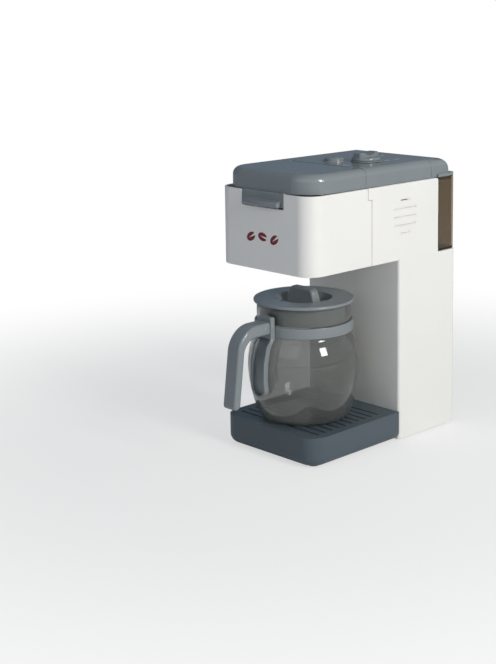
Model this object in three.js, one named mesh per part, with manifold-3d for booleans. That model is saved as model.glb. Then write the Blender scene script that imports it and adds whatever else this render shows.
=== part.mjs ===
// Toy drip coffee maker: a white moulded body with a grey top, a see-through water tank at the
// back, a slatted drip tray and a see-through jug with its own handle and lid.
// Millimetres. X runs across, Y from the front of the head to the back, Z is up.

import * as THREE from 'three';
import { mergeVertices } from 'three/addons/utils/BufferGeometryUtils.js';
import Module from 'manifold-3d';

const wasm = await Module();
wasm.setup();

// Sizes shared by all pieces
const wall = 2.2;
const fit_gap = 0.3;
const overrun = 1;

// Body
const body_width = 115;
const body_depth = 194;
const body_height = 236.5;
const head_height = 69;
const column_depth = 79.5;
const head_corner_radius = 16;
const body_edge_radius = 3;
const seam_setback = 77.5;
const seam_jog = 5;
const seam_jog_drop = 10.5;
const notch_width = 52;
const notch_depth = 13.5;

// Speaker vents in the right side
const vent_length = 31.5;
const vent_short_length = 14;
const vent_height = 2.6;
const vent_recess = 0.6;
const vent_slit = 0.6;
const vent_pitch = 7.5;
const vent_setback = 122;
const vent_drop = 30;
const vent_rows = 5;

// Grey top
const top_height = 17.5;
const top_inset = 2;
const top_corner_radius = 25;
const top_roll = 7;
const lid_front_setback = 3;
const lid_length = 69;
const cap_length = 25;
const cap_inset = 8;
const hinge_radius = 2.5;
const hinge_pin_radius = 1;
const knuckle_width = 8;
const knuckle_inset = 17.5;
const lid_boss_length = 5;
const cover_lip_depth = 3;

// Pull tab on the front lid
const tab_width = 44;
const tab_reach = 5;
const tab_drop = 12.2;
const tab_thickness = 2.4;

// Brewing well under the front lid
const deck_setback = 8;
const deck_length = 71;
const deck_drop = 1.5;
const deck_skirt = 12;
const basket_radius = 30;
const basket_depth = 24;
const basket_flange = 3;
const basket_wall = 1.6;
const basket_setback = 43;
const powder_depth = 15;
const powder_crown = 2;

// Outlet under the head
const nozzle_radius = 7;
const nozzle_bore_radius = 3;
const nozzle_flange_radius = 13;
const nozzle_flange = 2;
const nozzle_drop = 4;
const light_radius = 3.5;
const light_flange = 1.2;
const light_offset = 20;

// Start button
const button_radius = 9;
const button_rise = 1.4;
const button_crown = 1.8;
const button_offset = -4;
const button_share = 0.26;
const button_flange = 1.3;
const button_travel = 1.5;
const button_stem_radius = 2.4;
const collar_radius = 11;
const collar_rise = 0.8;

// Knob
const knob_radius = 13;
const knob_offset = 20;
const knob_share = 0.44;
const knob_skirt = 2.8;
const knob_bar_width = 11;
const knob_bar_rise = 8.6;
const knob_scoop_radius = 13;
const knob_scoop_depth = 2.4;
const knob_shaft_radius = 3;
const knob_shaft_flat = 0.8;
const knob_ring_radius = 14;
const knob_ring_rise = 1;

// Circuit board with its two switches
const board_width = 58;
const board_margin = 11.5;
const board_thickness = 1.6;
const board_offset = 8;
const board_drop = 15.4;
const board_post_radius = 2.6;
const switch_size = 6.2;
const switch_height = 4.2;
const selector_size = 14;
const spring_radius = 6;
const spring_wire = 0.8;

// Speaker
const speaker_radius = 18;
const speaker_depth = 9;
const speaker_rim = 2;
const speaker_magnet_radius = 9;
const speaker_collar = 4;

// Water tank and its cap
const tank_depth = 25.2;
const tank_height = 69;
const tank_wall = 1.8;
const tank_edge_radius = 5;
const spigot_radius = 4;
const spigot_bore_radius = 2.2;
const spigot_length = 7;
const grommet_radius = 7.5;
const grommet_height = 5.5;
const cap_flange = 3;
const cap_lip = 3;
const cap_end_radius = 13;

// Pump and its two tubes
const pump_radius = 11;
const pump_length = 26;
const pump_foot_width = 18;
const pump_inset = 21.5;
const pump_port_radius = 2.4;
const pump_port_length = 5;
const tube_radius = 3;
const tube_bore_radius = 1.7;
const tube_drop = 39.5;
const tube_bend = 14;

// Base and battery compartment
const battery_radius = 7.25;
const battery_length = 50.5;
const battery_cap_radius = 2.75;
const battery_cap_length = 1.4;
const battery_count = 3;
const battery_gap = 0.8;
const battery_box_wall = 1.8;
const battery_box_inset = 14.5;
const contact_thickness = 0.6;
const contact_height = 11;
const door_ear_radius = 5;
const base_thickness = 2.4;
const screw_radius = 1.4;
const screw_head_radius = 2.9;
const screw_head_height = 1.5;
const screw_length = 9;
const boss_radius = 4.2;
const boss_height = 12;
const rear_screw_side = 7.5;
const rear_screw_inset = 7;

// Feet
const foot_radius = 6;
const foot_projection = 1.5;
const foot_recess = 1;
const foot_side = 14.5;
const foot_front_inset = 17;
const foot_rear_inset = 17;

// Drip tray and grate
const tray_height = 26.5;
const tray_setback = 2;
const tray_corner_radius = 16;
const tray_roll_radius = 8;
const tray_rim = 3.4;
const tray_ledge = 3;
const tray_tongue_width = 16;
const tray_tongue_length = 12;
const tray_tongue_side = 23.5;
const tray_tongue_thickness = 3.4;
const grate_thickness = 2.4;
const slot_width = 2.2;
const slot_side = 8.5;
const slot_count = 10;
const slot_first = 17.5;
const slot_pitch = 8.6;

// Jug
const jug_setback = 50;
const jug_radius = 51;
const jug_headroom = 34.5;
const jug_neck_radius = 42.4;
const jug_neck_height = 28.7;
const jug_wall = 1.8;
const jug_base_rise = 1.2;
const band_height = 9.5;
const band_thickness = 1.8;
const band_lift = 0.6;

// Jug handle
const strap_width = 17;
const strap_standoff = 3;
const strap_depth = 5;
const strap_wall = 2;
const strap_foot = 28;
const strap_top_drop = 6.7;
const grip_width = 15.5;
const grip_thickness = 7.7;
const grip_reach = 93;
const grip_foot = 25;
const grip_slant = 6;
const grip_bend_radius = 21;
const arm_thickness = 9;
const arm_rise = 1;
const rivet_radius = 2.2;
const rivet_depth = 7;

// Jug lid
const jug_lid_radius = 45.2;
const jug_lid_rim = 2.8;
const jug_lid_skirt = 16;
const jug_lid_wall = 2;
const jug_lid_dish_radius = 27.5;
const jug_lid_dish_depth = 6;
const lid_grip_length = 30;
const lid_grip_top_length = 25;
const lid_grip_thickness = 9;
const lid_grip_rise = 9;

// Steps used for round forms
const corner_steps = 5;
const vent_steps = 2;
const roll_steps = 3;
const round_sides = 20;
const jug_sides = 28;
const small_sides = 12;
const tube_sides = 6;
const spring_sides = 5;
const jug_steps = 9;
const intake_steps = 13;
const delivery_steps = 22;

// Places that follow from the sizes
const half_width = body_width / 2;
const half_gap = fit_gap / 2;
const head_clearance = body_height - head_height;
const column_front = body_depth - column_depth;
const tank_front = body_depth - tank_depth;
const tank_bottom = body_height - tank_height;
const tank_middle = tank_front + tank_depth / 2;
const top_bottom = body_height + fit_gap;
const top_level = body_height + top_height;
const top_half_width = half_width - top_inset;
const lid_split = lid_front_setback + lid_length;
const cap_end = body_depth - cap_inset;
const cap_split = cap_end - cap_length;
const cover_length = cap_split - lid_split;
const knuckle_spread = half_width - knuckle_inset;
const lid_hinge_y = lid_split - half_gap - hinge_radius;
const lid_hinge_z = top_level - hinge_radius;
const head_inner_half = half_width - wall - fit_gap;
const vent_level = body_height - vent_drop;
const button_y = lid_split + button_share * cover_length;
const knob_y = lid_split + knob_share * cover_length;
const board_level = top_level - board_drop;
const board_length = cover_length - 2 * board_margin;
const board_y = lid_split + cover_length / 2;
const pump_front = column_front + pump_inset;
const tube_level = body_height - tube_drop;
const battery_pitch = 2 * battery_radius + battery_gap;
const box_inner_width = battery_count * battery_pitch + battery_gap;
const box_inner_length = battery_length + 2 * (contact_thickness + fit_gap) + battery_gap;
const box_front = column_front + battery_box_inset;
const box_middle = box_front + battery_box_wall + box_inner_length / 2;
const box_top = base_thickness + fit_gap + 2 * battery_radius + battery_gap + battery_box_wall;
const pump_level = box_top + fit_gap + pump_radius;
const rear_screw_spread = half_width - rear_screw_side;
const foot_spread = half_width - foot_side;
const tray_tongue_spread = half_width - tray_tongue_side;
const slot_reach = half_width - slot_side;
const jug_floor = tray_height + fit_gap;
const jug_top = head_clearance - jug_floor - jug_headroom;
const jug_body_height = jug_top - jug_neck_height;

// Colours and finishes
function finish(color, roughness, metalness = 0, opacity = 1) {
  const transparent = opacity < 1;
  return new THREE.MeshStandardMaterial({ color, roughness, metalness, opacity, transparent });
}

const white_plastic = () => finish('#eeede9', 0.28);
const grey_plastic = () => finish('#7f8b93', 0.3);
const dark_plastic = () => finish('#3a3f45', 0.5);
const black_plastic = () => finish('#1f2124', 0.55);
const smoke_clear = () => finish('#6d7073', 0.08, 0, 0.4);
const brown_clear = () => finish('#6e6250', 0.1, 0, 0.5);
const coffee_brown = () => finish('#4a2c1c', 0.85);
const steel = () => finish('#b9bdc1', 0.3, 1);
const board_green = () => finish('#2f6b45', 0.6);
const soft_rubber = () => finish('#2b2d30', 0.9);
const pale_tube = () => finish('#d9dcd8', 0.35, 0, 0.7);

// Closed solids from three.js shapes
function solid(geometry) {
  const bare = geometry.index ? geometry.toNonIndexed() : geometry;
  for (const attribute of ['normal', 'uv']) bare.deleteAttribute(attribute);
  const merged = mergeVertices(bare);
  const corners = merged.index.array;
  const kept = [];
  for (let i = 0; i < corners.length; i += 3) {
    const [a, b, c] = [corners[i], corners[i + 1], corners[i + 2]];
    if (a !== b && b !== c && c !== a) kept.push(a, b, c);
  }
  const vertProperties = new Float32Array(merged.attributes.position.array);
  const closed = (triVerts) => new wasm.Manifold(new wasm.Mesh({ numProp: 3, vertProperties, triVerts }));
  const shape = closed(new Uint32Array(kept));
  if (shape.volume() > 0) return shape;
  return closed(new Uint32Array(kept).reverse());
}

function join(...parts) {
  return parts.reduce((whole, part) => whole.add(part));
}

function cut(base, ...tools) {
  return tools.reduce((whole, tool) => whole.subtract(tool), base);
}

function common(...parts) {
  return parts.reduce((whole, part) => whole.intersect(part));
}

function block([x0, x1], [y0, y1], [z0, z1]) {
  const geometry = new THREE.BoxGeometry(Math.abs(x1 - x0), Math.abs(y1 - y0), Math.abs(z1 - z0));
  geometry.translate((x0 + x1) / 2, (y0 + y1) / 2, (z0 + z1) / 2);
  return solid(geometry);
}

// A round bar along one axis; the two places are those of the other axes, in X, Y, Z order
function bar(axis, radius, start, end, first, second, sides = round_sides) {
  const geometry = new THREE.CylinderGeometry(radius, radius, Math.abs(end - start), sides);
  const middle = (start + end) / 2;
  if (axis === 'x') geometry.rotateZ(Math.PI / 2).translate(middle, first, second);
  if (axis === 'y') geometry.translate(first, middle, second);
  if (axis === 'z') geometry.rotateX(Math.PI / 2).translate(first, second, middle);
  return solid(geometry);
}

function turned(profile, x, y, sides = round_sides) {
  const points = profile.map(([radius, height]) => new THREE.Vector2(radius, height));
  const geometry = new THREE.LatheGeometry([...points, points[0]], sides);
  return solid(geometry.rotateX(Math.PI / 2).translate(x, y, 0));
}

function polygon(points) {
  return new THREE.Shape(points.map(([a, b]) => new THREE.Vector2(a, b)));
}

// A rectangle whose corners may be round: radii in the order low-low, high-low, high-high, low-high
function plate([x0, x1], [y0, y1], [r00, r10, r11, r01]) {
  const shape = new THREE.Shape();
  shape.moveTo(x0 + r00, y0).lineTo(x1 - r10, y0);
  if (r10) shape.absarc(x1 - r10, y0 + r10, r10, -Math.PI / 2, 0);
  shape.lineTo(x1, y1 - r11);
  if (r11) shape.absarc(x1 - r11, y1 - r11, r11, 0, Math.PI / 2);
  shape.lineTo(x0 + r01, y1);
  if (r01) shape.absarc(x0 + r01, y1 - r01, r01, Math.PI / 2, Math.PI);
  shape.lineTo(x0, y0 + r00);
  if (r00) shape.absarc(x0 + r00, y0 + r00, r00, Math.PI, 1.5 * Math.PI);
  return shape;
}

function extrude(shape, depth, steps = corner_steps) {
  return new THREE.ExtrudeGeometry(shape, { depth, bevelEnabled: false, curveSegments: steps });
}

function extrudeUp(shape, bottom, top, steps) {
  return solid(extrude(shape, top - bottom, steps).translate(0, 0, bottom));
}

const across = new THREE.Vector3(1, 0, 0);
const backward = new THREE.Vector3(0, 1, 0);
const upward = new THREE.Vector3(0, 0, 1);

// A shape drawn in Y and Z, run along X
function extrudeAcross(shape, left, right, steps) {
  const turn = new THREE.Matrix4().makeBasis(backward, upward, across);
  return solid(extrude(shape, right - left, steps).applyMatrix4(turn).translate(left, 0, 0));
}

// A shape drawn in X and Z, run along Y
function extrudeBack(shape, front, back, steps) {
  const turn = new THREE.Matrix4().makeBasis(across, upward, backward.clone().negate());
  return solid(extrude(shape, back - front, steps).applyMatrix4(turn).translate(0, back, 0));
}

// A plan run upwards with its top or bottom edge rolled over
function rolledBlock(shape, bottom, top, roll, rolled_end, steps = corner_steps) {
  const geometry = new THREE.ExtrudeGeometry(shape, {
    depth: top - bottom - (rolled_end === 'both' ? 2 * roll : 0),
    bevelThickness: roll,
    bevelSize: roll,
    bevelOffset: -roll,
    bevelSegments: roll_steps,
    curveSegments: steps,
  });
  const lift = rolled_end === 'top' ? bottom - roll : bottom + roll;
  const rolled = solid(geometry.translate(0, 0, lift));
  if (rolled_end === 'both') return rolled;
  return common(rolled, extrudeUp(shape, bottom, top, steps));
}

// A shape drawn in Y and Z, run along X with both of its ends rolled over
function rolledAcross(shape, left, right, roll) {
  const geometry = new THREE.ExtrudeGeometry(shape, {
    depth: right - left - 2 * roll,
    bevelThickness: roll,
    bevelSize: roll,
    bevelOffset: -roll,
    bevelSegments: roll_steps,
    curveSegments: corner_steps,
  });
  const turn = new THREE.Matrix4().makeBasis(backward, upward, across);
  return solid(geometry.applyMatrix4(turn).translate(left + roll, 0, 0));
}

// What is cut away to round an upright edge
function edgeTrim(x, y, radius, side_x, side_y, [bottom, top]) {
  const inner_x = x - side_x * radius;
  const inner_y = y - side_y * radius;
  const corner = block(
    [inner_x, x + side_x * overrun],
    [inner_y, y + side_y * overrun],
    [bottom - overrun, top + overrun],
  );
  return cut(corner, bar('z', radius, bottom - 2 * overrun, top + 2 * overrun, inner_x, inner_y));
}

function tubeAlong(points, radius, bore_radius, steps, sides = tube_sides) {
  const ring = (r) => {
    const corners = [];
    for (let i = 0; i < sides; i++) {
      const angle = (2 * Math.PI * i) / sides;
      corners.push(new THREE.Vector2(r * Math.cos(angle), r * Math.sin(angle)));
    }
    return corners;
  };
  const section = new THREE.Shape(ring(radius));
  if (bore_radius) section.holes.push(new THREE.Path(ring(bore_radius)));
  const path = new THREE.CatmullRomCurve3(points.map(([x, y, z]) => new THREE.Vector3(x, y, z)));
  return solid(new THREE.ExtrudeGeometry(section, { steps, extrudePath: path, curveSegments: 1 }));
}

const machine = new THREE.Group();
const jug = new THREE.Group();
const coffee_maker = new THREE.Group();

function add(name, shape, material, group = machine) {
  const { vertProperties, triVerts } = shape.getMesh();
  const geometry = new THREE.BufferGeometry();
  geometry.setAttribute('position', new THREE.BufferAttribute(new Float32Array(vertProperties), 3));
  geometry.setIndex(new THREE.BufferAttribute(new Uint32Array(triVerts), 1));
  geometry.computeVertexNormals();
  const mesh = new THREE.Mesh(geometry, material);
  mesh.name = name;
  group.add(mesh);
}

// White body: a front shell round the head and two halves for the column and the rear of the head
function headFrontShell() {
  const rear = seam_setback - half_gap;
  const outer_radii = [head_corner_radius, head_corner_radius, 0, 0];
  const inner_radii = outer_radii.map((radius) => Math.max(radius - wall, 0));
  const outer_plan = plate([-half_width, half_width], [0, rear], outer_radii);
  const outer = extrudeUp(outer_plan, head_clearance, body_height);
  const inner = extrudeUp(
    plate([wall - half_width, half_width - wall], [wall, rear + overrun], inner_radii),
    head_clearance - overrun,
    body_height + overrun,
  );
  const seam_step = block(
    [-half_width - overrun, half_width + overrun],
    [rear - seam_jog, rear + overrun],
    [body_height - seam_jog_drop - half_gap, body_height + overrun],
  );
  const notch = block(
    [-notch_width / 2, notch_width / 2],
    [-overrun, wall + overrun],
    [body_height - notch_depth, body_height + overrun],
  );
  return cut(outer, inner, seam_step, notch);
}

function bodySide() {
  const front = seam_setback + half_gap;
  const jog_level = body_height - seam_jog_drop + half_gap;
  return polygon([
    [column_front, 0],
    [body_depth, 0],
    [body_depth, tank_bottom],
    [tank_front, tank_bottom],
    [tank_front, body_height],
    [front - seam_jog, body_height],
    [front - seam_jog, jog_level],
    [front, jog_level],
    [front, head_clearance],
    [column_front, head_clearance],
  ]);
}

function bodyInside() {
  const open_front = seam_setback - seam_jog - overrun;
  return polygon([
    [column_front + wall, -overrun],
    [body_depth - wall, -overrun],
    [body_depth - wall, tank_bottom - wall],
    [tank_front - wall, tank_bottom - wall],
    [tank_front - wall, body_height + overrun],
    [open_front, body_height + overrun],
    [open_front, head_clearance - overrun],
    [column_front, head_clearance - overrun],
    [column_front, head_clearance],
    [column_front + wall, head_clearance],
  ]);
}

function bodyHalf(side) {
  const span = (inner, outer) => (side > 0 ? [inner, outer] : [-outer, -inner]);
  const outer = extrudeAcross(bodySide(), ...span(half_gap, half_width));
  const inner = extrudeAcross(bodyInside(), ...span(-overrun, half_width - wall));
  const column_span = [0, head_clearance];
  const shell = cut(
    outer,
    inner,
    edgeTrim(side * half_width, column_front, body_edge_radius, side, -1, column_span),
    edgeTrim(side * half_width, body_depth, body_edge_radius, side, 1, [0, tank_bottom]),
  );
  const screw_x = side * rear_screw_spread;
  const screw_y = body_depth - rear_screw_inset;
  const boss_bottom = base_thickness + fit_gap;
  const boss = join(
    bar('z', boss_radius, boss_bottom, boss_bottom + boss_height, screw_x, screw_y, small_sides),
    block(
      [screw_x, side * (half_width - wall / 2)],
      [screw_y - wall / 2, screw_y + wall / 2],
      [boss_bottom, boss_bottom + boss_height],
    ),
  );
  const bore_end = screw_length + overrun;
  const bore = bar('z', screw_radius + fit_gap, -overrun, bore_end, screw_x, screw_y, small_sides);
  const tongue_room = block(
    span(
      tray_tongue_spread - tray_tongue_width / 2 - fit_gap,
      tray_tongue_spread + tray_tongue_width / 2 + fit_gap,
    ),
    [column_front - overrun, column_front + wall + overrun],
    [-overrun, base_thickness + tray_tongue_thickness + 2 * fit_gap],
  );
  const hole_radius = grommet_radius - wall + fit_gap;
  const hole_low = tank_bottom - wall - overrun;
  const grommet_hole = bar('z', hole_radius, hole_low, tank_bottom + overrun, 0, tank_middle);
  return cut(join(shell, boss), bore, tongue_room, grommet_hole);
}

// One vent: a shallow rounded recess with a narrow slit along its lower edge
function vent(length, middle_y, level) {
  const ends = [vent_height / 2, vent_height / 2, vent_height / 2, vent_height / 2];
  const low = level - vent_height / 2;
  const span = [middle_y - length / 2, middle_y + length / 2];
  const outline = plate(span, [low, low + vent_height], ends);
  const recess = extrudeAcross(outline, half_width - vent_recess, half_width + overrun, vent_steps);
  const slit = block(
    [half_width - wall - overrun, half_width - vent_recess / 2],
    [span[0] + vent_height / 2, span[1] - vent_height / 2],
    [low + vent_slit / 2, low + vent_slit / 2 + vent_slit],
  );
  return join(recess, slit);
}

function speakerCollar() {
  const inside = half_width - wall;
  const low = inside - speaker_collar;
  const bore = speaker_radius + fit_gap;
  return cut(
    bar('x', bore + wall, low, inside + wall / 2, vent_setback, vent_level),
    bar('x', bore, low - overrun, inside, vent_setback, vent_level),
  );
}

function rightBodyHalf() {
  const vents = [];
  for (let row = 0; row < vent_rows; row++) {
    const is_end = row === 0 || row === vent_rows - 1;
    const level = vent_level + (row - (vent_rows - 1) / 2) * vent_pitch;
    vents.push(vent(is_end ? vent_short_length : vent_length, vent_setback, level));
  }
  return cut(join(bodyHalf(1), speakerCollar()), ...vents);
}

add('head_front_shell', headFrontShell(), white_plastic());
add('right_body_shell', rightBodyHalf(), white_plastic());
add('left_body_shell', bodyHalf(-1), white_plastic());

// Underside of the head, with the outlet and the small lamp over the jug
function headFloor() {
  const corner = head_corner_radius - wall - fit_gap;
  const span_y = [wall + fit_gap, column_front - fit_gap];
  const sheet = extrudeUp(
    plate([-head_inner_half, head_inner_half], span_y, [corner, corner, 0, 0]),
    head_clearance,
    head_clearance + wall,
  );
  const below = head_clearance - overrun;
  const above = head_clearance + wall + overrun;
  return cut(
    sheet,
    bar('z', nozzle_radius + fit_gap, below, above, 0, jug_setback),
    bar('z', light_radius + fit_gap, below, above, 0, jug_setback + light_offset),
  );
}

function outletNozzle() {
  const seat = head_clearance + wall + fit_gap;
  return turned([
    [nozzle_bore_radius, head_clearance - nozzle_drop],
    [nozzle_radius - wall / 2, head_clearance - nozzle_drop],
    [nozzle_radius, head_clearance - nozzle_drop + wall / 2],
    [nozzle_radius, seat],
    [nozzle_flange_radius, seat],
    [nozzle_flange_radius, seat + nozzle_flange],
    [nozzle_bore_radius, seat + nozzle_flange],
  ], 0, jug_setback);
}

function brewLight() {
  const seat = head_clearance + wall + fit_gap;
  return turned([
    [0, head_clearance - light_radius / 2],
    [light_radius / 2, head_clearance - light_radius / 3],
    [light_radius, head_clearance],
    [light_radius, seat],
    [light_radius + light_flange, seat],
    [light_radius + light_flange, seat + light_flange],
    [0, seat + light_flange],
  ], 0, jug_setback + light_offset, small_sides);
}

add('head_floor', headFloor(), white_plastic());
add('outlet_nozzle', outletNozzle(), grey_plastic());
add('brew_light', brewLight(), finish('#f4f1e2', 0.2, 0, 0.8));

// Well under the front lid: a deck with a skirt, the filter basket and the moulded coffee powder
const deck_top = body_height - deck_drop;

function brewDeck() {
  const corner = head_corner_radius - wall - fit_gap;
  const span_y = [deck_setback, deck_setback + deck_length];
  const outer = extrudeUp(
    plate([-head_inner_half, head_inner_half], span_y, [corner, corner, 0, 0]),
    deck_top - deck_skirt,
    deck_top,
  );
  const inner = extrudeUp(
    plate(
      [wall - head_inner_half, head_inner_half - wall],
      [span_y[0] + wall, span_y[1] - wall],
      [corner - wall, corner - wall, 0, 0],
    ),
    deck_top - deck_skirt - overrun,
    deck_top - wall,
  );
  const bore = basket_radius + fit_gap;
  const below = deck_top - wall - overrun;
  return cut(outer, inner, bar('z', bore, below, deck_top + overrun, 0, basket_setback, jug_sides));
}

function coffeeBasket() {
  const rim = deck_top + fit_gap;
  const floor = rim - basket_depth;
  const taper = basket_wall;
  return turned([
    [0, floor],
    [basket_radius - 2 * taper, floor],
    [basket_radius, rim - basket_flange],
    [basket_radius, rim],
    [basket_radius + basket_flange, rim],
    [basket_radius + basket_flange, rim + basket_wall / 2],
    [basket_radius - basket_wall, rim + basket_wall / 2],
    [basket_radius - basket_wall, rim - basket_flange],
    [basket_radius - 2 * taper - basket_wall, floor + basket_wall],
    [0, floor + basket_wall],
  ], 0, basket_setback, jug_sides);
}

// Low domes, as shares of their radius and of their height
const dome_shares = [
  [1, 0],
  [0.86, 0.36],
  [0.6, 0.75],
  [0.3, 0.94],
  [0, 1],
];

function dome(radius, base, crown) {
  return dome_shares.map(([out_share, up_share]) => [out_share * radius, base + up_share * crown]);
}

function coffeePowder() {
  const floor = deck_top + fit_gap - basket_depth + basket_wall + fit_gap;
  const radius = basket_radius - 3 * basket_wall - fit_gap;
  const profile = [[0, floor], [radius, floor], ...dome(radius, floor + powder_depth, powder_crown)];
  return turned(profile, 0, basket_setback, jug_sides);
}

add('brew_deck', brewDeck(), grey_plastic());
add('coffee_basket', coffeeBasket(), dark_plastic());
add('coffee_powder', coffeePowder(), coffee_brown());

// Grey top: hollow pieces with one plan, their long edges rolled over
function topPlan(front, rear, inset, corner) {
  const half = top_half_width - inset;
  return plate([-half, half], [front + inset, rear - inset], [corner, corner, 0, 0]);
}

function topBlock(front, rear, corner, inset = 0) {
  const beyond = 2 * top_roll;
  const low = inset ? top_bottom - overrun : top_bottom;
  const high = top_level - inset;
  const plan = topPlan(corner ? front : front - beyond, rear + beyond, inset, corner && corner - inset);
  return common(
    rolledBlock(plan, low, high, top_roll - inset, 'top'),
    block([-half_width, half_width], [front + inset, rear - inset], [low, high]),
  );
}

// Front lid: the rear edge is round about the hinge, where the knuckles of the rear cover reach in
function lidProfile() {
  const front = lid_front_setback - overrun;
  const rear = lid_split - half_gap;
  const shape = new THREE.Shape();
  shape.moveTo(front, top_bottom).lineTo(rear, top_bottom).lineTo(rear, lid_hinge_z);
  shape.absarc(lid_hinge_y, lid_hinge_z, hinge_radius, 0, Math.PI / 2);
  shape.lineTo(front, top_level);
  return shape;
}

// Pull tab in profile: level under the lid, then down and out to a round lip. The shares are of
// the tab's reach, forwards from the head's front, and of its height, upwards from the lip.
const tab_face_shares = [
  [0, 0.58],
  [0.38, 0.385],
];
const tab_back_shares = [
  [0.24, 0.168],
  [-0.06, 0.33],
  [-0.08, 0.55],
];

function tabProfile() {
  const root = lid_front_setback + wall;
  const seat = lid_front_setback + fit_gap;
  const tip = tab_thickness / 2;
  const low = body_height - tab_drop;
  const height = top_bottom - low;
  const at = ([out_share, up_share]) => [-out_share * tab_reach, low + up_share * height];
  const lip = [tip - tab_reach, low + tip];
  const side = tip * Math.SQRT1_2;
  const shape = new THREE.Shape();
  shape.moveTo(root, top_bottom + tab_thickness).lineTo(seat, top_bottom + tab_thickness);
  shape.lineTo(seat, top_bottom).lineTo(tip, top_bottom).lineTo(0, top_bottom - tip);
  shape.bezierCurveTo(...tab_face_shares.flatMap(at), lip[0] - side, lip[1] + side);
  shape.absarc(...lip, tip, Math.PI * 0.75, Math.PI * 1.75);
  shape.bezierCurveTo(...tab_back_shares.flatMap(at));
  shape.lineTo(tab_thickness, top_bottom - tab_thickness).lineTo(root, top_bottom - tab_thickness);
  return shape;
}

function knucklePlaces() {
  return [-knuckle_spread, knuckle_spread];
}

function knuckleRoom(place) {
  const reach = hinge_radius + fit_gap;
  const room = knuckle_width / 2 + fit_gap;
  return block(
    [place - room, place + room],
    [lid_hinge_y - reach, lid_split + overrun],
    [lid_hinge_z - reach, top_level + overrun],
  );
}

function lidBoss(place) {
  const reach = knuckle_width / 2 + lid_boss_length;
  return bar('x', hinge_radius, place - reach, place + reach, lid_hinge_y, lid_hinge_z, small_sides);
}

function frontLid() {
  const rear = lid_split - half_gap;
  const outer = common(
    topBlock(lid_front_setback, rear, top_corner_radius),
    extrudeAcross(lidProfile(), -half_width, half_width),
  );
  const inner = topBlock(lid_front_setback, rear, top_corner_radius, wall);
  const tab = extrudeAcross(tabProfile(), -tab_width / 2, tab_width / 2);
  const places = knucklePlaces();
  return cut(
    join(cut(outer, inner), tab, ...places.map(lidBoss)),
    ...places.map(knuckleRoom),
    ...places.map(pinBore),
  );
}

function pinBore(place) {
  const reach = knuckle_width / 2 + lid_boss_length + overrun;
  const radius = hinge_pin_radius + fit_gap;
  return bar('x', radius, place - reach, place + reach, lid_hinge_y, lid_hinge_z, small_sides);
}

function hingePin(place) {
  const reach = knuckle_width / 2 + lid_boss_length - fit_gap;
  return bar('x', hinge_pin_radius, place - reach, place + reach, lid_hinge_y, lid_hinge_z, small_sides);
}

add('front_lid', frontLid(), grey_plastic());
add('lid_pin_left', hingePin(-knuckle_spread), steel());
add('lid_pin_right', hingePin(knuckle_spread), steel());

// Rear top cover: carries the knuckles, the button and the knob, and the posts for the board
function knuckle(place) {
  const side = [place - knuckle_width / 2, place + knuckle_width / 2];
  return join(
    bar('x', hinge_radius, ...side, lid_hinge_y, lid_hinge_z, small_sides),
    block(side, [lid_hinge_y, lid_split + wall], [lid_hinge_z - hinge_radius, lid_hinge_z]),
    block(side, [lid_hinge_y, lid_split + half_gap + hinge_radius], [lid_hinge_z, top_level]),
  );
}

function boardPosts() {
  const posts = [];
  for (const side_x of [-1, 1]) {
    for (const side_y of [-1, 1]) {
      const x = board_offset + side_x * (board_width / 2 - board_post_radius);
      const y = board_y + side_y * (board_length / 2 - board_post_radius);
      const top = top_level - wall / 2;
      posts.push(bar('z', board_post_radius, board_level + fit_gap, top, x, y, small_sides));
    }
  }
  return join(...posts);
}

// The lip that drops inside the white body and keeps the cover in place
function coverLip(rear) {
  const half = head_inner_half;
  const front = seam_setback + wall;
  const low = body_height - cover_lip_depth;
  const high = top_bottom + wall;
  return cut(
    block([-half, half], [front, rear - wall], [low, high]),
    block([wall - half, half - wall], [front - overrun, rear], [low - overrun, high + overrun]),
  );
}

function rearTopCover() {
  const front = lid_split + half_gap;
  const rear = cap_split - half_gap;
  const below = top_level - wall - overrun;
  const above = top_level + collar_rise + overrun;
  const collar_span = [top_level - wall / 2, top_level + collar_rise];
  const collar = bar('z', collar_radius, ...collar_span, button_offset, button_y);
  const shell = cut(topBlock(front, rear, 0), topBlock(front, rear, 0, wall));
  const whole = join(shell, coverLip(rear), collar, boardPosts(), ...knucklePlaces().map(knuckle));
  return cut(
    whole,
    bar('z', button_radius + fit_gap, below, above, button_offset, button_y),
    bar('z', knob_shaft_radius + fit_gap, below, above, knob_offset, knob_y),
    ...knucklePlaces().map(pinBore),
  );
}

add('rear_top_cover', rearTopCover(), grey_plastic());

// Start button: a low dome on a flanged stem, with its spring and switch
const button_seat = top_level - wall - fit_gap;

function startButton() {
  const face = top_level + collar_rise + button_rise;
  const stem_end = board_level + switch_height + 2 * fit_gap + button_travel;
  return turned([
    [0, stem_end],
    [button_stem_radius, stem_end],
    [button_stem_radius, button_seat - button_flange],
    [button_radius + wall, button_seat - button_flange],
    [button_radius + wall, button_seat],
    [button_radius, button_seat],
    ...dome(button_radius, face, button_crown),
  ], button_offset, button_y);
}

function buttonSpring() {
  const low = board_level + fit_gap + spring_wire / 2;
  const high = button_seat - button_flange - fit_gap - spring_wire / 2;
  const turns = 4;
  const steps_per_turn = 8;
  const points = [];
  for (let i = 0; i <= turns * steps_per_turn; i++) {
    const angle = (2 * Math.PI * i) / steps_per_turn;
    const x = button_offset + spring_radius * Math.cos(angle);
    const y = button_y + spring_radius * Math.sin(angle);
    points.push([x, y, low + ((high - low) * i) / (turns * steps_per_turn)]);
  }
  return tubeAlong(points, spring_wire / 2, 0, turns * steps_per_turn, spring_sides);
}

function switchBlock(size, x, y) {
  const half = size / 2;
  const low = board_level + fit_gap;
  return block([x - half, x + half], [y - half, y + half], [low, low + switch_height]);
}

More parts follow.
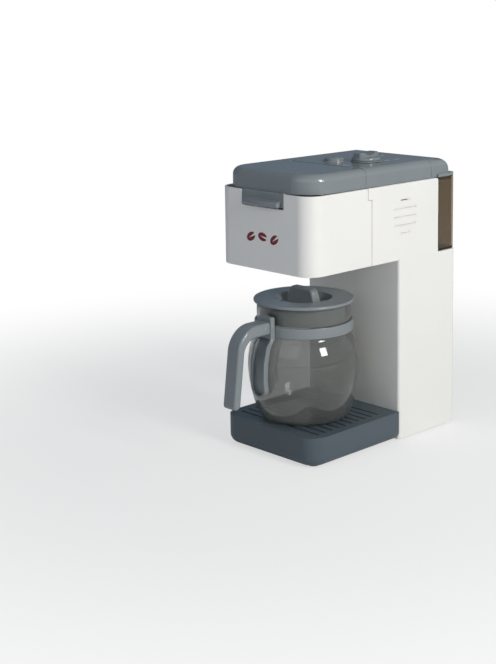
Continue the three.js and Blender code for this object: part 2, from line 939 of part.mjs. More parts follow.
function circuitBoard() {
  return block(
    [board_offset - board_width / 2, board_offset + board_width / 2],
    [board_y - board_length / 2, board_y + board_length / 2],
    [board_level - board_thickness, board_level],
  );
}

add('start_button', startButton(), grey_plastic());
add('button_spring', buttonSpring(), steel());
add('button_switch', switchBlock(switch_size, button_offset, button_y), black_plastic());
add('circuit_board', circuitBoard(), board_green());

// Knob: a round skirt and a finger bar with a scooped top, on a shaft with one flat
const knob_seat = top_level + knob_ring_rise + 2 * fit_gap;

function knobShaft(radius, low, high) {
  const flat = block(
    [knob_offset + radius - knob_shaft_flat, knob_offset + radius + overrun],
    [knob_y - radius - overrun, knob_y + radius + overrun],
    [low - overrun, board_level + switch_height],
  );
  return cut(bar('z', radius, low, high, knob_offset, knob_y, small_sides), flat);
}

function knobFingerBar() {
  const half = knob_bar_width / 2;
  const corner = half / 2;
  const high = top_level + knob_bar_rise;
  const reach = knob_radius - wall / 4;
  const span_x = [knob_offset - half, knob_offset + half];
  const span_y = [knob_y - reach, knob_y + reach];
  const plan = plate(span_x, span_y, [corner, corner, corner, corner]);
  const scoop_level = high + knob_scoop_radius - knob_scoop_depth;
  const scoop_span = [knob_offset - knob_radius, knob_offset + knob_radius];
  const scoop = bar('x', knob_scoop_radius, ...scoop_span, knob_y, scoop_level, jug_sides);
  return cut(rolledBlock(plan, knob_seat, high, wall / 2, 'top'), scoop);
}

function knobPiece() {
  const skirt = turned([
    [0, knob_seat],
    [knob_radius, knob_seat],
    [knob_radius, knob_seat + knob_skirt - wall / 2],
    [knob_radius - wall / 2, knob_seat + knob_skirt],
    [0, knob_seat + knob_skirt],
  ], knob_offset, knob_y);
  const shaft_low = board_level + 3 * fit_gap;
  return join(skirt, knobFingerBar(), knobShaft(knob_shaft_radius, shaft_low, knob_seat + wall / 2));
}

function knobRing() {
  const low = top_level + fit_gap;
  return turned([
    [knob_shaft_radius + fit_gap, low],
    [knob_ring_radius, low],
    [knob_ring_radius - knob_ring_rise / 2, low + knob_ring_rise],
    [knob_shaft_radius + fit_gap, low + knob_ring_rise],
  ], knob_offset, knob_y);
}

function selectorSwitch() {
  const low = board_level + 2 * fit_gap;
  const high = board_level + 2 * switch_height;
  const bore = bar('z', knob_shaft_radius + fit_gap, low, high, knob_offset, knob_y, small_sides);
  return cut(switchBlock(selector_size, knob_offset, knob_y), bore);
}

add('knob', knobPiece(), grey_plastic());
add('knob_ring', knobRing(), grey_plastic());
add('selector_switch', selectorSwitch(), black_plastic());

// Speaker behind the vents
function speaker() {
  const face = half_width - wall - fit_gap;
  const basket = face - speaker_depth;
  const profile = [
    [0, basket],
    [speaker_magnet_radius, basket],
    [speaker_magnet_radius, basket + speaker_depth / 2],
    [speaker_radius, face - speaker_rim],
    [speaker_radius, face],
    [speaker_radius - speaker_rim, face],
    [speaker_magnet_radius, face - speaker_rim],
    [0, face - speaker_rim / 2],
  ];
  const points = profile.map(([radius, height]) => new THREE.Vector2(radius, height));
  const geometry = new THREE.LatheGeometry([...points, points[0]], round_sides);
  return solid(geometry.rotateZ(-Math.PI / 2).translate(0, vent_setback, vent_level));
}

add('speaker', speaker(), black_plastic());

// Water tank: an open see-through box with a spigot that plugs into the body
function tankPlan(inset) {
  const radii = [0, 0, tank_edge_radius, tank_edge_radius].map((radius) => Math.max(radius - inset, 0));
  const half = half_width - inset;
  return plate([-half, half], [tank_front + fit_gap + inset, body_depth - inset], radii);
}

function waterTank() {
  const floor = tank_bottom + fit_gap;
  const outer = extrudeUp(tankPlan(0), floor, body_height);
  const inner = extrudeUp(tankPlan(tank_wall), floor + tank_wall, body_height + overrun);
  const foot_edge = extrudeAcross(polygon([
    [body_depth - tank_wall, floor - overrun],
    [body_depth + overrun, floor - overrun],
    [body_depth + overrun, floor + tank_wall],
    [body_depth, floor + tank_wall],
  ]), -half_width - overrun, half_width + overrun);
  const spigot_end = floor - spigot_length;
  const above = floor + tank_wall + overrun;
  const spigot = bar('z', spigot_radius, spigot_end, floor + tank_wall / 2, 0, tank_middle, small_sides);
  const bore = bar('z', spigot_bore_radius, spigot_end - overrun, above, 0, tank_middle, small_sides);
  return cut(join(cut(outer, inner, foot_edge), spigot), bore);
}

function tankGrommet() {
  const collar_top = tank_bottom - wall - fit_gap;
  const bore = spigot_radius + fit_gap;
  const sleeve = grommet_radius - wall;
  return turned([
    [bore, collar_top - grommet_height],
    [grommet_radius, collar_top - grommet_height],
    [grommet_radius, collar_top],
    [sleeve, collar_top],
    [sleeve, tank_bottom - fit_gap],
    [bore, tank_bottom - fit_gap],
  ], 0, tank_middle);
}

function capProfile(inset) {
  const rear = cap_end - inset;
  const high = top_level - inset;
  const radius = cap_end_radius - inset;
  const low = top_bottom - (inset ? overrun : 0);
  const shape = new THREE.Shape();
  shape.moveTo(cap_split + half_gap + inset, low).lineTo(rear, low).lineTo(rear, high - radius);
  shape.absarc(rear - radius, high - radius, radius, 0, Math.PI / 2);
  shape.lineTo(cap_split + half_gap + inset, high);
  return shape;
}

function tankCap() {
  const front = cap_split + half_gap;
  const outer = common(
    topBlock(front, cap_end, 0),
    extrudeAcross(capProfile(0), -half_width, half_width),
  );
  const inner = common(
    topBlock(front, cap_end, 0, wall),
    extrudeAcross(capProfile(wall), -half_width, half_width),
  );
  const lip_inset = tank_wall + fit_gap;
  const lip_low = top_bottom - cap_lip;
  const flange_top = top_bottom + cap_flange;
  const flange = extrudeUp(tankPlan(0), top_bottom, flange_top);
  const lip = extrudeUp(tankPlan(lip_inset), lip_low, top_bottom + cap_flange / 2);
  const hollow = extrudeUp(tankPlan(lip_inset + wall), lip_low - overrun, flange_top - wall / 2);
  return cut(join(outer, flange, lip), inner, hollow);
}

add('water_tank', waterTank(), brown_clear());
add('tank_grommet', tankGrommet(), soft_rubber());
add('tank_cap', tankCap(), grey_plastic());

// Pump and the tubes from the tank to the pump and from the pump to the outlet
const pump_end = pump_front + pump_length;
const pump_middle = pump_front + pump_length / 2;

function pump() {
  const floor = box_top + fit_gap;
  const foot = block(
    [-pump_foot_width / 2, pump_foot_width / 2],
    [pump_front + pump_foot_width / 4, pump_end - pump_foot_width / 4],
    [floor, pump_level],
  );
  const port_top = pump_level + pump_radius + pump_port_length;
  return join(
    bar('y', pump_radius, pump_front, pump_end, 0, pump_level),
    foot,
    bar('y', pump_port_radius, pump_end - overrun, pump_end + pump_port_length, 0, pump_level, small_sides),
    bar('z', pump_port_radius, pump_level, port_top, 0, pump_middle, small_sides),
  );
}

function intakeTube() {
  const top = tank_bottom - wall - grommet_height - 2 * fit_gap;
  const end = pump_end + pump_port_length + fit_gap;
  return tubeAlong([
    [0, tank_middle, top],
    [0, tank_middle, top - tube_bend],
    [0, tank_middle, (top + pump_level) / 2],
    [0, tank_middle, pump_level + 2 * tube_bend],
    [0, tank_middle - tube_bend / 8, pump_level + tube_bend / 2],
    [0, (tank_middle + end) / 2, pump_level + tube_bend / 16],
    [0, end + tube_radius, pump_level],
    [0, end, pump_level],
  ], tube_radius, tube_bore_radius, intake_steps);
}

function deliveryTube() {
  const start = pump_level + pump_radius + pump_port_length + fit_gap;
  const nozzle_top = head_clearance + wall + nozzle_flange + 2 * fit_gap;
  return tubeAlong([
    [0, pump_middle, start],
    [0, pump_middle, start + tube_bend],
    [0, pump_middle, (start + tube_level) / 2],
    [0, pump_middle, tube_level - tube_bend],
    [0, pump_middle - tube_bend / 3, tube_level - tube_bend / 4],
    [0, pump_middle - tube_bend, tube_level],
    [0, (pump_middle + jug_setback) / 2, tube_level],
    [0, jug_setback + tube_bend, tube_level],
    [0, jug_setback + tube_bend / 4, tube_level - tube_bend / 4],
    [0, jug_setback, tube_level - tube_bend],
    [0, jug_setback, nozzle_top],
  ], tube_radius, tube_bore_radius, delivery_steps);
}

add('pump', pump(), dark_plastic());
add('intake_tube', intakeTube(), pale_tube());
add('delivery_tube', deliveryTube(), pale_tube());

// Base plate, battery compartment and its screwed door
const ear_x = box_inner_width / 2 + battery_box_wall + door_ear_radius / 2;

function doorPlan(inset) {
  const half = box_inner_width / 2 - inset;
  const front = box_middle - box_inner_length / 2 + inset;
  const rear = box_middle + box_inner_length / 2 - inset;
  return join(
    block([-half, half], [front, rear], [0, base_thickness]),
    bar('z', door_ear_radius - inset, 0, base_thickness, ear_x, box_middle, small_sides),
  );
}

function screw(x, y, head_bottom) {
  const shoulder = head_bottom + screw_head_height;
  return turned([
    [0, head_bottom],
    [screw_head_radius, head_bottom],
    [screw_head_radius, shoulder],
    [screw_radius, shoulder],
    [screw_radius, screw_length - screw_radius],
    [0, screw_length],
  ], x, y, small_sides);
}

function screwRoom(x, y) {
  const head_room = screw_head_height + 2 * fit_gap;
  return join(
    bar('z', screw_head_radius + fit_gap, -overrun, head_room, x, y, small_sides),
    bar('z', screw_radius + fit_gap, 0, screw_length + overrun, x, y, small_sides),
  );
}

const base_front = column_front + wall + fit_gap;
const base_rear = body_depth - wall - fit_gap;
const tongue_screw_y = base_front + tray_tongue_length / 2;

function screwPlaces() {
  const rear_y = body_depth - rear_screw_inset;
  return [
    ['base_screw_front_left', -tray_tongue_spread, tongue_screw_y],
    ['base_screw_front_right', tray_tongue_spread, tongue_screw_y],
    ['base_screw_rear_left', -rear_screw_spread, rear_y],
    ['base_screw_rear_right', rear_screw_spread, rear_y],
  ];
}

function footPlaces() {
  const rear_y = body_depth - foot_rear_inset;
  return [
    ['foot_front_left', -foot_spread, foot_front_inset],
    ['foot_front_right', foot_spread, foot_front_inset],
    ['foot_rear_left', -foot_spread, rear_y],
    ['foot_rear_right', foot_spread, rear_y],
  ];
}

function footRooms() {
  const radius = foot_radius + fit_gap;
  return footPlaces().map(([, x, y]) => bar('z', radius, -overrun, foot_recess, x, y, small_sides));
}

function basePlate() {
  const span_x = [-head_inner_half, head_inner_half];
  const sheet = block(span_x, [base_front, base_rear], [0, base_thickness]);
  const rooms = screwPlaces().map(([, x, y]) => screwRoom(x, y));
  return cut(sheet, doorPlan(0), ...rooms, ...footRooms());
}

function batteryBox() {
  const low = base_thickness + fit_gap;
  const half = box_inner_width / 2;
  const front = box_middle - box_inner_length / 2;
  const rear = box_middle + box_inner_length / 2;
  const outer = block(
    [-half - battery_box_wall, half + battery_box_wall],
    [front - battery_box_wall, rear + battery_box_wall],
    [low, box_top],
  );
  const boss = bar('z', door_ear_radius, low, screw_length + wall, ear_x, box_middle, small_sides);
  const inner = block([-half, half], [front, rear], [low - overrun, box_top - battery_box_wall]);
  const ribs = [];
  for (let i = 1; i < battery_count; i++) {
    const x = (i - battery_count / 2) * battery_pitch;
    const rib_half = battery_gap / 4;
    ribs.push(block(
      [x - rib_half, x + rib_half],
      [front + contact_thickness + 2 * fit_gap, rear - contact_thickness - 2 * fit_gap],
      [box_top - 2 * battery_box_wall, box_top - battery_box_wall / 2],
    ));
  }
  const bore_end = screw_length + fit_gap;
  return cut(
    join(cut(join(outer, boss), inner), ...ribs),
    bar('z', screw_radius + fit_gap, low - overrun, bore_end, ear_x, box_middle, small_sides),
  );
}

function battery(index) {
  const x = (index - (battery_count - 1) / 2) * battery_pitch;
  const level = base_thickness + fit_gap + battery_radius;
  const start = box_middle - battery_length / 2;
  const faces_back = index % 2 === 0;
  const can_length = battery_length - battery_cap_length;
  const can_start = faces_back ? start : start + battery_cap_length;
  const cap_start = faces_back ? start + can_length - overrun : start;
  const cap_stop = cap_start + battery_cap_length + overrun;
  return join(
    bar('y', battery_radius, can_start, can_start + can_length, x, level),
    bar('y', battery_cap_radius, cap_start, cap_stop, x, level, small_sides),
  );
}

function batteryContact(side) {
  const face = box_middle + side * (box_inner_length / 2 - fit_gap);
  const half = box_inner_width / 2 - fit_gap;
  const level = base_thickness + fit_gap + battery_radius;
  return block(
    [-half, half],
    [face - side * contact_thickness, face],
    [level - contact_height / 2, level + contact_height / 2],
  );
}

add('base_plate', basePlate(), white_plastic());
add('battery_box', batteryBox(), white_plastic());
for (let i = 0; i < battery_count; i++) add(`battery_${i + 1}`, battery(i), finish('#31425e', 0.35, 0.4));
add('battery_contact_front', batteryContact(-1), steel());
add('battery_contact_rear', batteryContact(1), steel());
add('battery_door', cut(doorPlan(fit_gap), screwRoom(ear_x, box_middle)), white_plastic());
add('battery_door_screw', screw(ear_x, box_middle, fit_gap), steel());
for (const [name, x, y] of screwPlaces()) add(name, screw(x, y, fit_gap), steel());

function foot(x, y) {
  const top = foot_recess - fit_gap;
  return turned([
    [0, -foot_projection],
    [foot_radius - foot_projection / 2, -foot_projection],
    [foot_radius, -foot_projection / 2],
    [foot_radius, top],
    [0, top],
  ], x, y, small_sides);
}

for (const [name, x, y] of footPlaces()) add(name, foot(x, y), soft_rubber());

// Drip tray: a hollow base rolled in at its foot, with a ledge for the slatted grate
const tray_rear = column_front - fit_gap;

function trayPlan(inset, rear) {
  const half = half_width - inset;
  const corner = tray_corner_radius - inset;
  return plate([-half, half], [tray_setback + inset, rear], [corner, corner, 0, 0]);
}

// A tray form that runs past its rear face before it is cut there, so that the roll stays at its foot
function trayForm(inset, bottom, top, rear) {
  const beyond = rear + 2 * (tray_roll_radius + overrun);
  const plan = trayPlan(inset, beyond - overrun);
  return cut(
    rolledBlock(plan, bottom, top, tray_roll_radius - inset, 'bottom'),
    block([-half_width - overrun, half_width + overrun], [rear, beyond], [-overrun, tray_height + overrun]),
  );
}

function trayTongue(side) {
  const x = side * tray_tongue_spread;
  const low = base_thickness + fit_gap;
  return block(
    [x - tray_tongue_width / 2, x + tray_tongue_width / 2],
    [tray_rear - wall, base_front + tray_tongue_length],
    [low, low + tray_tongue_thickness],
  );
}

function dripTray() {
  const flange_level = tray_height - grate_thickness - fit_gap;
  const basin_rear = tray_rear - wall;
  const basin = trayForm(wall, wall, flange_level - wall, basin_rear);
  const mouth_plan = trayPlan(tray_rim + tray_ledge, basin_rear - tray_ledge);
  const mouth = extrudeUp(mouth_plan, flange_level - 2 * wall, tray_height);
  const pocket = extrudeUp(trayPlan(tray_rim, basin_rear), flange_level, tray_height + overrun);
  const tongues = [-1, 1].map(trayTongue);
  const screw_rooms = screwPlaces().slice(0, 2).map(([, x, y]) => (
    bar('z', screw_radius + fit_gap, -overrun, screw_length + overrun, x, y, small_sides)
  ));
  const hollow = cut(trayForm(0, 0, tray_height, tray_rear), basin, mouth, pocket);
  return cut(join(hollow, ...tongues), ...screw_rooms, ...footRooms().slice(0, 2));
}

function dripGrate() {
  const plan = trayPlan(tray_rim + fit_gap, tray_rear - wall - fit_gap);
  const sheet = extrudeUp(plan, tray_height - grate_thickness, tray_height);
  const slots = [];
  for (let i = 0; i < slot_count; i++) {
    const middle = slot_first + i * slot_pitch;
    slots.push(block(
      [-slot_reach, slot_reach],
      [middle - slot_width / 2, middle + slot_width / 2],
      [tray_height - grate_thickness - overrun, tray_height + overrun],
    ));
  }
  return cut(sheet, ...slots);
}

add('drip_tray', dripTray(), grey_plastic());
add('drip_grate', dripGrate(), grey_plastic());

// Jug outline: radius and height of the glass from the foot to the neck, as shares of its two sizes
const jug_outline_shares = [
  [0.706, 0.0],
  [0.775, 0.032],
  [0.829, 0.09],
  [0.885, 0.18],
  [0.943, 0.32],
  [0.986, 0.49],
  [1.0, 0.645],
  [0.967, 0.826],
  [0.908, 0.942],
  [0.86, 0.99],
];

function jugOutline() {
  const points = jug_outline_shares.map(([across_share, up_share]) => (
    new THREE.Vector2(across_share * jug_radius, up_share * jug_body_height)
  ));
  points.push(new THREE.Vector2(jug_neck_radius, jug_body_height + band_height / 4));
  const smooth = new THREE.SplineCurve(points).getPoints(jug_steps);
  smooth.push(new THREE.Vector2(jug_neck_radius, jug_body_height + jug_neck_height));
  return smooth;
}

// The same outline moved outwards, or inwards where the distance is negative
function offsetOutline(points, distance) {
  return points.map((point, i) => {
    const before = points[Math.max(i - 1, 0)];
    const after = points[Math.min(i + 1, points.length - 1)];
    const along = after.clone().sub(before).normalize();
    return new THREE.Vector2(point.x + along.y * distance, point.y - along.x * distance);
  });
}

function jugBody() {
  const outside = jugOutline();
  const inside = offsetOutline(outside, -jug_wall).reverse();
  const top = outside[outside.length - 1].y;
  inside[0].y = top;
  inside[inside.length - 1].y = jug_base_rise + jug_wall;
  const foot_radius_inside = outside[0].x - jug_wall;
  return turned([
    [0, jug_base_rise],
    [foot_radius_inside, jug_base_rise],
    [outside[0].x - jug_wall / 2, 0],
    ...outside.map(({ x, y }) => [x, y]),
    ...inside.map(({ x, y }) => [x, y]),
    [0, jug_base_rise + jug_wall],
  ], 0, 0, jug_sides);
}

const band_bottom = jug_body_height + band_height / 4 + band_lift;
const band_top = band_bottom + band_height;

function jugBand() {
  const bore = jug_neck_radius + fit_gap;
  const edge = band_thickness / 3;
  return turned([
    [bore, band_bottom],
    [bore + band_thickness - edge, band_bottom],
    [bore + band_thickness, band_bottom + edge],
    [bore + band_thickness, band_top - edge],
    [bore + band_thickness - edge, band_top],
    [bore, band_top],
  ], 0, 0, jug_sides);
}

// Strap: a trough that runs down the front of the jug from the band, its open side to the front
const strap_seat = jug_neck_radius + band_thickness + 2 * fit_gap;
const strap_face = strap_seat + strap_depth;
const strap_top = jug_top - strap_top_drop;
const arm_middle = band_top + arm_rise;

function strapLine(distance) {
  const line = offsetOutline(jugOutline(), strap_standoff + distance);
  const straight = strap_seat + distance;
  const shoulder = band_bottom - band_thickness;
  const kept = line.filter(({ x, y }) => y > strap_foot && y < shoulder && x > straight);
  return [
    new THREE.Vector2(kept[0].x, strap_foot),
    ...kept,
    new THREE.Vector2(straight, shoulder + band_thickness / 2),
    new THREE.Vector2(straight, strap_top),
  ];
}

function strapSolid(inner_distance, outer_distance) {
  const outline = [...strapLine(inner_distance), ...strapLine(outer_distance).reverse()];
  return extrudeAcross(polygon(outline.map(({ x, y }) => [-x, y])), -strap_width / 2, strap_width / 2);
}

// What shows of the strap from the front, smaller by the inset, with a round foot
function strapFront(inset, top) {
  const half = strap_width / 2 - inset;
  const outline = plate([-half, half], [strap_foot + inset, top], [half, half, strap_wall, strap_wall]);
  return extrudeBack(outline, -2 * jug_radius, 0);
}

function jugStrap() {
  const half = strap_width / 2 + overrun;
  const whole = common(strapSolid(0, strap_depth), strapFront(0, strap_top));
  const trough = common(strapSolid(strap_wall, strap_depth + overrun), strapFront(strap_wall, band_bottom));
  const hole_span = [-strap_face - overrun, overrun - strap_seat];
  const rivet_hole = bar('y', rivet_radius + fit_gap, ...hole_span, 0, arm_middle, small_sides);
  const neck_room = common(
    bar('z', strap_seat, 0, strap_top + overrun, 0, 0, jug_sides),
    block([-half, half], [-jug_radius, 0], [band_bottom - fit_gap, strap_top + overrun]),
  );
  return cut(whole, trough, rivet_hole, neck_room);
}

// Handle: an arm that leaves the strap above the band, bends down and ends as a free grip
function handleProfile() {
  const root = strap_face + fit_gap;
  const inner_face = grip_reach - grip_thickness;
  const arm_top = arm_middle + arm_thickness / 2;
  const arm_low = arm_middle - arm_thickness / 2;
  const inner_bend = grip_bend_radius - arm_thickness;
  const tip = grip_thickness / 2;
  const shape = new THREE.Shape();
  shape.moveTo(-root, arm_low);
  shape.lineTo(grip_slant + inner_bend - inner_face, arm_low);
  shape.absarc(grip_slant + inner_bend - inner_face, arm_low - inner_bend, inner_bend, Math.PI / 2, Math.PI);
  shape.lineTo(-inner_face, grip_foot + tip);
  shape.absarc(-inner_face - tip, grip_foot + tip, tip, 0, -Math.PI, true);
  shape.lineTo(grip_slant - grip_reach, arm_top - grip_bend_radius);
  const bend_middle = grip_slant + grip_bend_radius - grip_reach;
  shape.absarc(bend_middle, arm_top - grip_bend_radius, grip_bend_radius, Math.PI, Math.PI / 2, true);
  shape.lineTo(-root, arm_top);
  return shape;
}

function jugHandle() {
  const half = grip_width / 2;
  const root = strap_face + fit_gap;
  const bore_end = -root - rivet_depth;
  const bore = bar('y', rivet_radius + fit_gap, bore_end, overrun - root, 0, arm_middle, small_sides);
  return cut(rolledAcross(handleProfile(), -half, half, wall), bore);
}

function handleRivet() {
  return bar('y', rivet_radius, -strap_face - rivet_depth, -strap_seat, 0, arm_middle, small_sides);
}

add('jug_body', jugBody(), smoke_clear(), jug);
add('jug_band', jugBand(), grey_plastic(), jug);
add('jug_strap', jugStrap(), grey_plastic(), jug);
add('jug_handle', jugHandle(), grey_plastic(), jug);
add('handle_rivet', handleRivet(), steel(), jug);

// Jug lid: a rimmed disc with a skirt inside the neck, a dish and a tapered finger grip over it
const jug_lid_seat = jug_top + fit_gap;

function jugLid() {
  const skirt_radius = jug_neck_radius - jug_wall - 2 * fit_gap;
  const rim_top = jug_lid_seat + jug_lid_rim;
  const dish_floor = rim_top - jug_lid_dish_depth;
  const disc = turned([
    [0, dish_floor - jug_lid_wall],
    [jug_lid_dish_radius, dish_floor - jug_lid_wall],
    [jug_lid_dish_radius + jug_lid_wall, rim_top - jug_lid_wall],
    [skirt_radius - jug_lid_wall, rim_top - jug_lid_wall],
    [skirt_radius - jug_lid_wall, jug_lid_seat - jug_lid_skirt],
    [skirt_radius, jug_lid_seat - jug_lid_skirt],
    [skirt_radius, jug_lid_seat],
    [jug_lid_radius, jug_lid_seat],
    [jug_lid_radius, rim_top - jug_lid_wall / 2],
    [jug_lid_radius - jug_lid_wall / 2, rim_top],
    [jug_lid_dish_radius, rim_top],
    [jug_lid_dish_radius - jug_lid_wall, dish_floor],
    [0, dish_floor],
  ], 0, 0, jug_sides);
  const low = dish_floor - jug_lid_wall / 2;
  const high = rim_top + lid_grip_rise;
  const side = extrudeBack(polygon([
    [-lid_grip_length / 2, low],
    [lid_grip_length / 2, low],
    [lid_grip_length / 2, rim_top],
    [lid_grip_top_length / 2, high - jug_lid_wall],
    [lid_grip_top_length / 2 - jug_lid_wall, high],
    [jug_lid_wall - lid_grip_top_length / 2, high],
    [-lid_grip_top_length / 2, high - jug_lid_wall],
    [-lid_grip_length / 2, rim_top],
  ]), -lid_grip_thickness / 2, lid_grip_thickness / 2);
  return join(disc, side);
}

add('jug_lid', jugLid(), grey_plastic(), jug);

// The jug stands on the grate, and the whole is centred on its own outline, standing on its feet
jug.position.set(0, jug_setback, jug_floor);
const foremost = jug_setback - grip_reach;
coffee_maker.add(machine, jug);
coffee_maker.position.set(0, -(foremost + body_depth) / 2, foot_projection);

export default coffee_maker;
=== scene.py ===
"""Finished look of a toy drip coffee maker, built on its fixed frame of CAD parts."""

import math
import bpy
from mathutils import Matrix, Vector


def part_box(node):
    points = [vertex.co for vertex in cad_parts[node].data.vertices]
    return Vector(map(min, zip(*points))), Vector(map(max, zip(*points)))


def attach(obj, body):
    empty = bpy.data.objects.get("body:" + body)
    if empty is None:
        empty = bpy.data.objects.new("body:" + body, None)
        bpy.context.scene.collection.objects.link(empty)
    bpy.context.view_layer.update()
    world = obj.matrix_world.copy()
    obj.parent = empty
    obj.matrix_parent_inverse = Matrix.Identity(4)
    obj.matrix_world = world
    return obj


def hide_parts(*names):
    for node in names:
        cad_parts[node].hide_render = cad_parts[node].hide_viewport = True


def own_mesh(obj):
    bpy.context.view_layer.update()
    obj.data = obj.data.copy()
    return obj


bl_info = {
    "name": "Toy coffee maker",
    "version": (1, 0, 0),
    "blender": (4, 5, 0),
    "location": "View3D > Sidebar > Coffee maker",
    "description": "Builds the finished pieces, materials and studio of a toy drip coffee maker",
    "category": "Add Mesh",
}

import bmesh
import bpy
from bpy.props import FloatProperty, FloatVectorProperty, IntProperty, PointerProperty
from mathutils import Matrix, Vector, geometry, noise

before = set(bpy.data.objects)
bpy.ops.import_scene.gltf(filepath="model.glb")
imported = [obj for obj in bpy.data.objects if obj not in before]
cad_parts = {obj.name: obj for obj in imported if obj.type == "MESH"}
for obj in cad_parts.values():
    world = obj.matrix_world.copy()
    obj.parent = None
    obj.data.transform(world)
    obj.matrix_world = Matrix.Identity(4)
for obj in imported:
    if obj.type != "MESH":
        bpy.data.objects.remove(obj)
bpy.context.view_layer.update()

MM = 0.001
X, Y, Z = range(3)
TOUCH = 0.02 * MM  # points nearer than this count as one
OVERRUN = 1 * MM  # how far a cutting shape runs past what it cuts
FIT_GAP = 0.3 * MM
WALL = 2.2 * MM
EDGE = 0.3 * MM  # the usual round along a moulded edge

# Planes and levels of the toy, read from the CAD parts or set off from what is read
HEAD_LOW, HEAD_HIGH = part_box("head_front_shell")
COLUMN_LOW, COLUMN_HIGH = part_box("right_body_shell")
HALF_WIDTH, REAR, GROUND = COLUMN_HIGH.x, COLUMN_HIGH.y, COLUMN_LOW.z
FRONT, SEAM = HEAD_LOW.y, HEAD_HIGH.y
HEAD_BOTTOM, BODY_TOP = HEAD_LOW.z, HEAD_HIGH.z
TOP_BOTTOM = BODY_TOP + FIT_GAP
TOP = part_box("front_lid")[1].z
LID_FRONT = FRONT + 3 * MM
LID_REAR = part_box("front_lid")[1].y
COVER_FRONT = LID_REAR + FIT_GAP
COVER_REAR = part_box("tank_cap")[0].y - FIT_GAP
TANK_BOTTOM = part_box("tank_grommet")[1].z + FIT_GAP
TANK_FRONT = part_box("water_tank")[0].y
TRAY_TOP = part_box("drip_tray")[1].z
COLUMN_FRONT = FRONT + 114.5 * MM
JUG = Vector((0, FRONT + 50 * MM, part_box("jug_body")[0].z))

# The lid's hinge, which the lid and the rear cover share
HINGE_RADIUS = 2.5 * MM
PIN_RADIUS = 1.3 * MM
HINGE = (0, LID_REAR - HINGE_RADIUS, TOP - HINGE_RADIUS)
KNUCKLES = (-40 * MM, 40 * MM)

# The finishes that pieces are made in
# Painted shade: the tray's finish is the grey plastic in a darker colour, for the shade the tray and grate sit in
# under the head.
WHITE, GREY, SATIN, SHADED_TRAY = "moulded white ABS", "polished grey ABS", "satin grey ABS", "tray ABS with painted shade"
DARK, BLACK, RUBBER, STEEL = "dark grey polypropylene", "black ABS", "black rubber", "zinc-plated steel"
SMOKE, BROWN, MILKY = "smoke-tinted clear styrene", "brown-tinted clear styrene", "milky clear styrene"
GRANULES, RED_PRINT, PALE_PRINT = "moulded coffee granules", "maroon pad print", "pale pad print"


def linear(code):
    """The linear colour of an sRGB hex value."""
    shares = [int(code[place : place + 2], 16) / 255 for place in (1, 3, 5)]
    return tuple(s / 12.92 if s <= 0.04045 else ((s + 0.055) / 1.055) ** 2.4 for s in shares)


# Sizes and colours that a user may change


class TopSettings(bpy.types.PropertyGroup):
    corner: FloatProperty(
        name="Front corners", description="Radius of the front corners of the lid, from above",
        default=25 * MM, min=8 * MM, max=40 * MM, subtype="DISTANCE", unit="LENGTH",
    )
    roll: FloatProperty(
        name="Rolled edge", description="Radius of the edge that runs round the grey top",
        default=7 * MM, min=3 * MM, max=10 * MM, subtype="DISTANCE", unit="LENGTH",
    )
    inset: FloatProperty(
        name="Inset", description="How far the grey top stands in from the white sides",
        default=2 * MM, min=0.5 * MM, max=5 * MM, subtype="DISTANCE", unit="LENGTH",
    )
    tab_width: FloatProperty(
        name="Tab width", description="Width of the pull tab at the front of the lid",
        default=44 * MM, min=20 * MM, max=48 * MM, subtype="DISTANCE", unit="LENGTH",
    )


class HeadSettings(bpy.types.PropertyGroup):
    corner: FloatProperty(
        name="Head corners", description="Radius of the upright front corners of the head",
        default=16 * MM, min=5 * MM, max=30 * MM, subtype="DISTANCE", unit="LENGTH",
    )
    edge: FloatProperty(
        name="Moulded edge", description="Small round along the open edges of the white shells",
        default=0.45 * MM, min=0.1 * MM, max=1 * MM, subtype="DISTANCE", unit="LENGTH",
    )
    bean_length: FloatProperty(
        name="Bean length", description="Length of each printed coffee bean on the head",
        default=11 * MM, min=5 * MM, max=15 * MM, subtype="DISTANCE", unit="LENGTH",
    )


class ControlSettings(bpy.types.PropertyGroup):
    button_radius: FloatProperty(
        name="Button radius", description="Radius of the start button's dome",
        default=9 * MM, min=6 * MM, max=9.2 * MM, subtype="DISTANCE", unit="LENGTH",
    )
    knob_radius: FloatProperty(
        name="Knob radius", description="Radius of the knob's round skirt",
        default=13 * MM, min=8 * MM, max=13.5 * MM, subtype="DISTANCE", unit="LENGTH",
    )
    bar_width: FloatProperty(
        name="Bar width", description="Width of the finger bar across the knob",
        default=11 * MM, min=6 * MM, max=14 * MM, subtype="DISTANCE", unit="LENGTH",
    )


class JugSettings(bpy.types.PropertyGroup):
    wall: FloatProperty(
        name="Wall", description="Thickness of the clear jug",
        default=1.8 * MM, min=0.8 * MM, max=3 * MM, subtype="DISTANCE", unit="LENGTH",
    )
    sides: IntProperty(
        name="Steps round", description="Number of steps in a full turn of the round pieces",
        default=96, min=24, max=160,
    )
    grip_width: FloatProperty(
        name="Grip width", description="Width of the handle across",
        default=15.5 * MM, min=10 * MM, max=20 * MM, subtype="DISTANCE", unit="LENGTH",
    )


class TraySettings(bpy.types.PropertyGroup):
    corner: FloatProperty(
        name="Tray corners", description="Radius of the front corners of the drip tray",
        default=16 * MM, min=6 * MM, max=25 * MM, subtype="DISTANCE", unit="LENGTH",
    )
    roll: FloatProperty(
        name="Tray foot", description="Radius of the edge round the foot of the drip tray",
        default=8 * MM, min=2 * MM, max=12 * MM, subtype="DISTANCE", unit="LENGTH",
    )
    slots: IntProperty(
        name="Slots", description="Number of slots in the drip grate", default=10, min=4, max=10,
    )


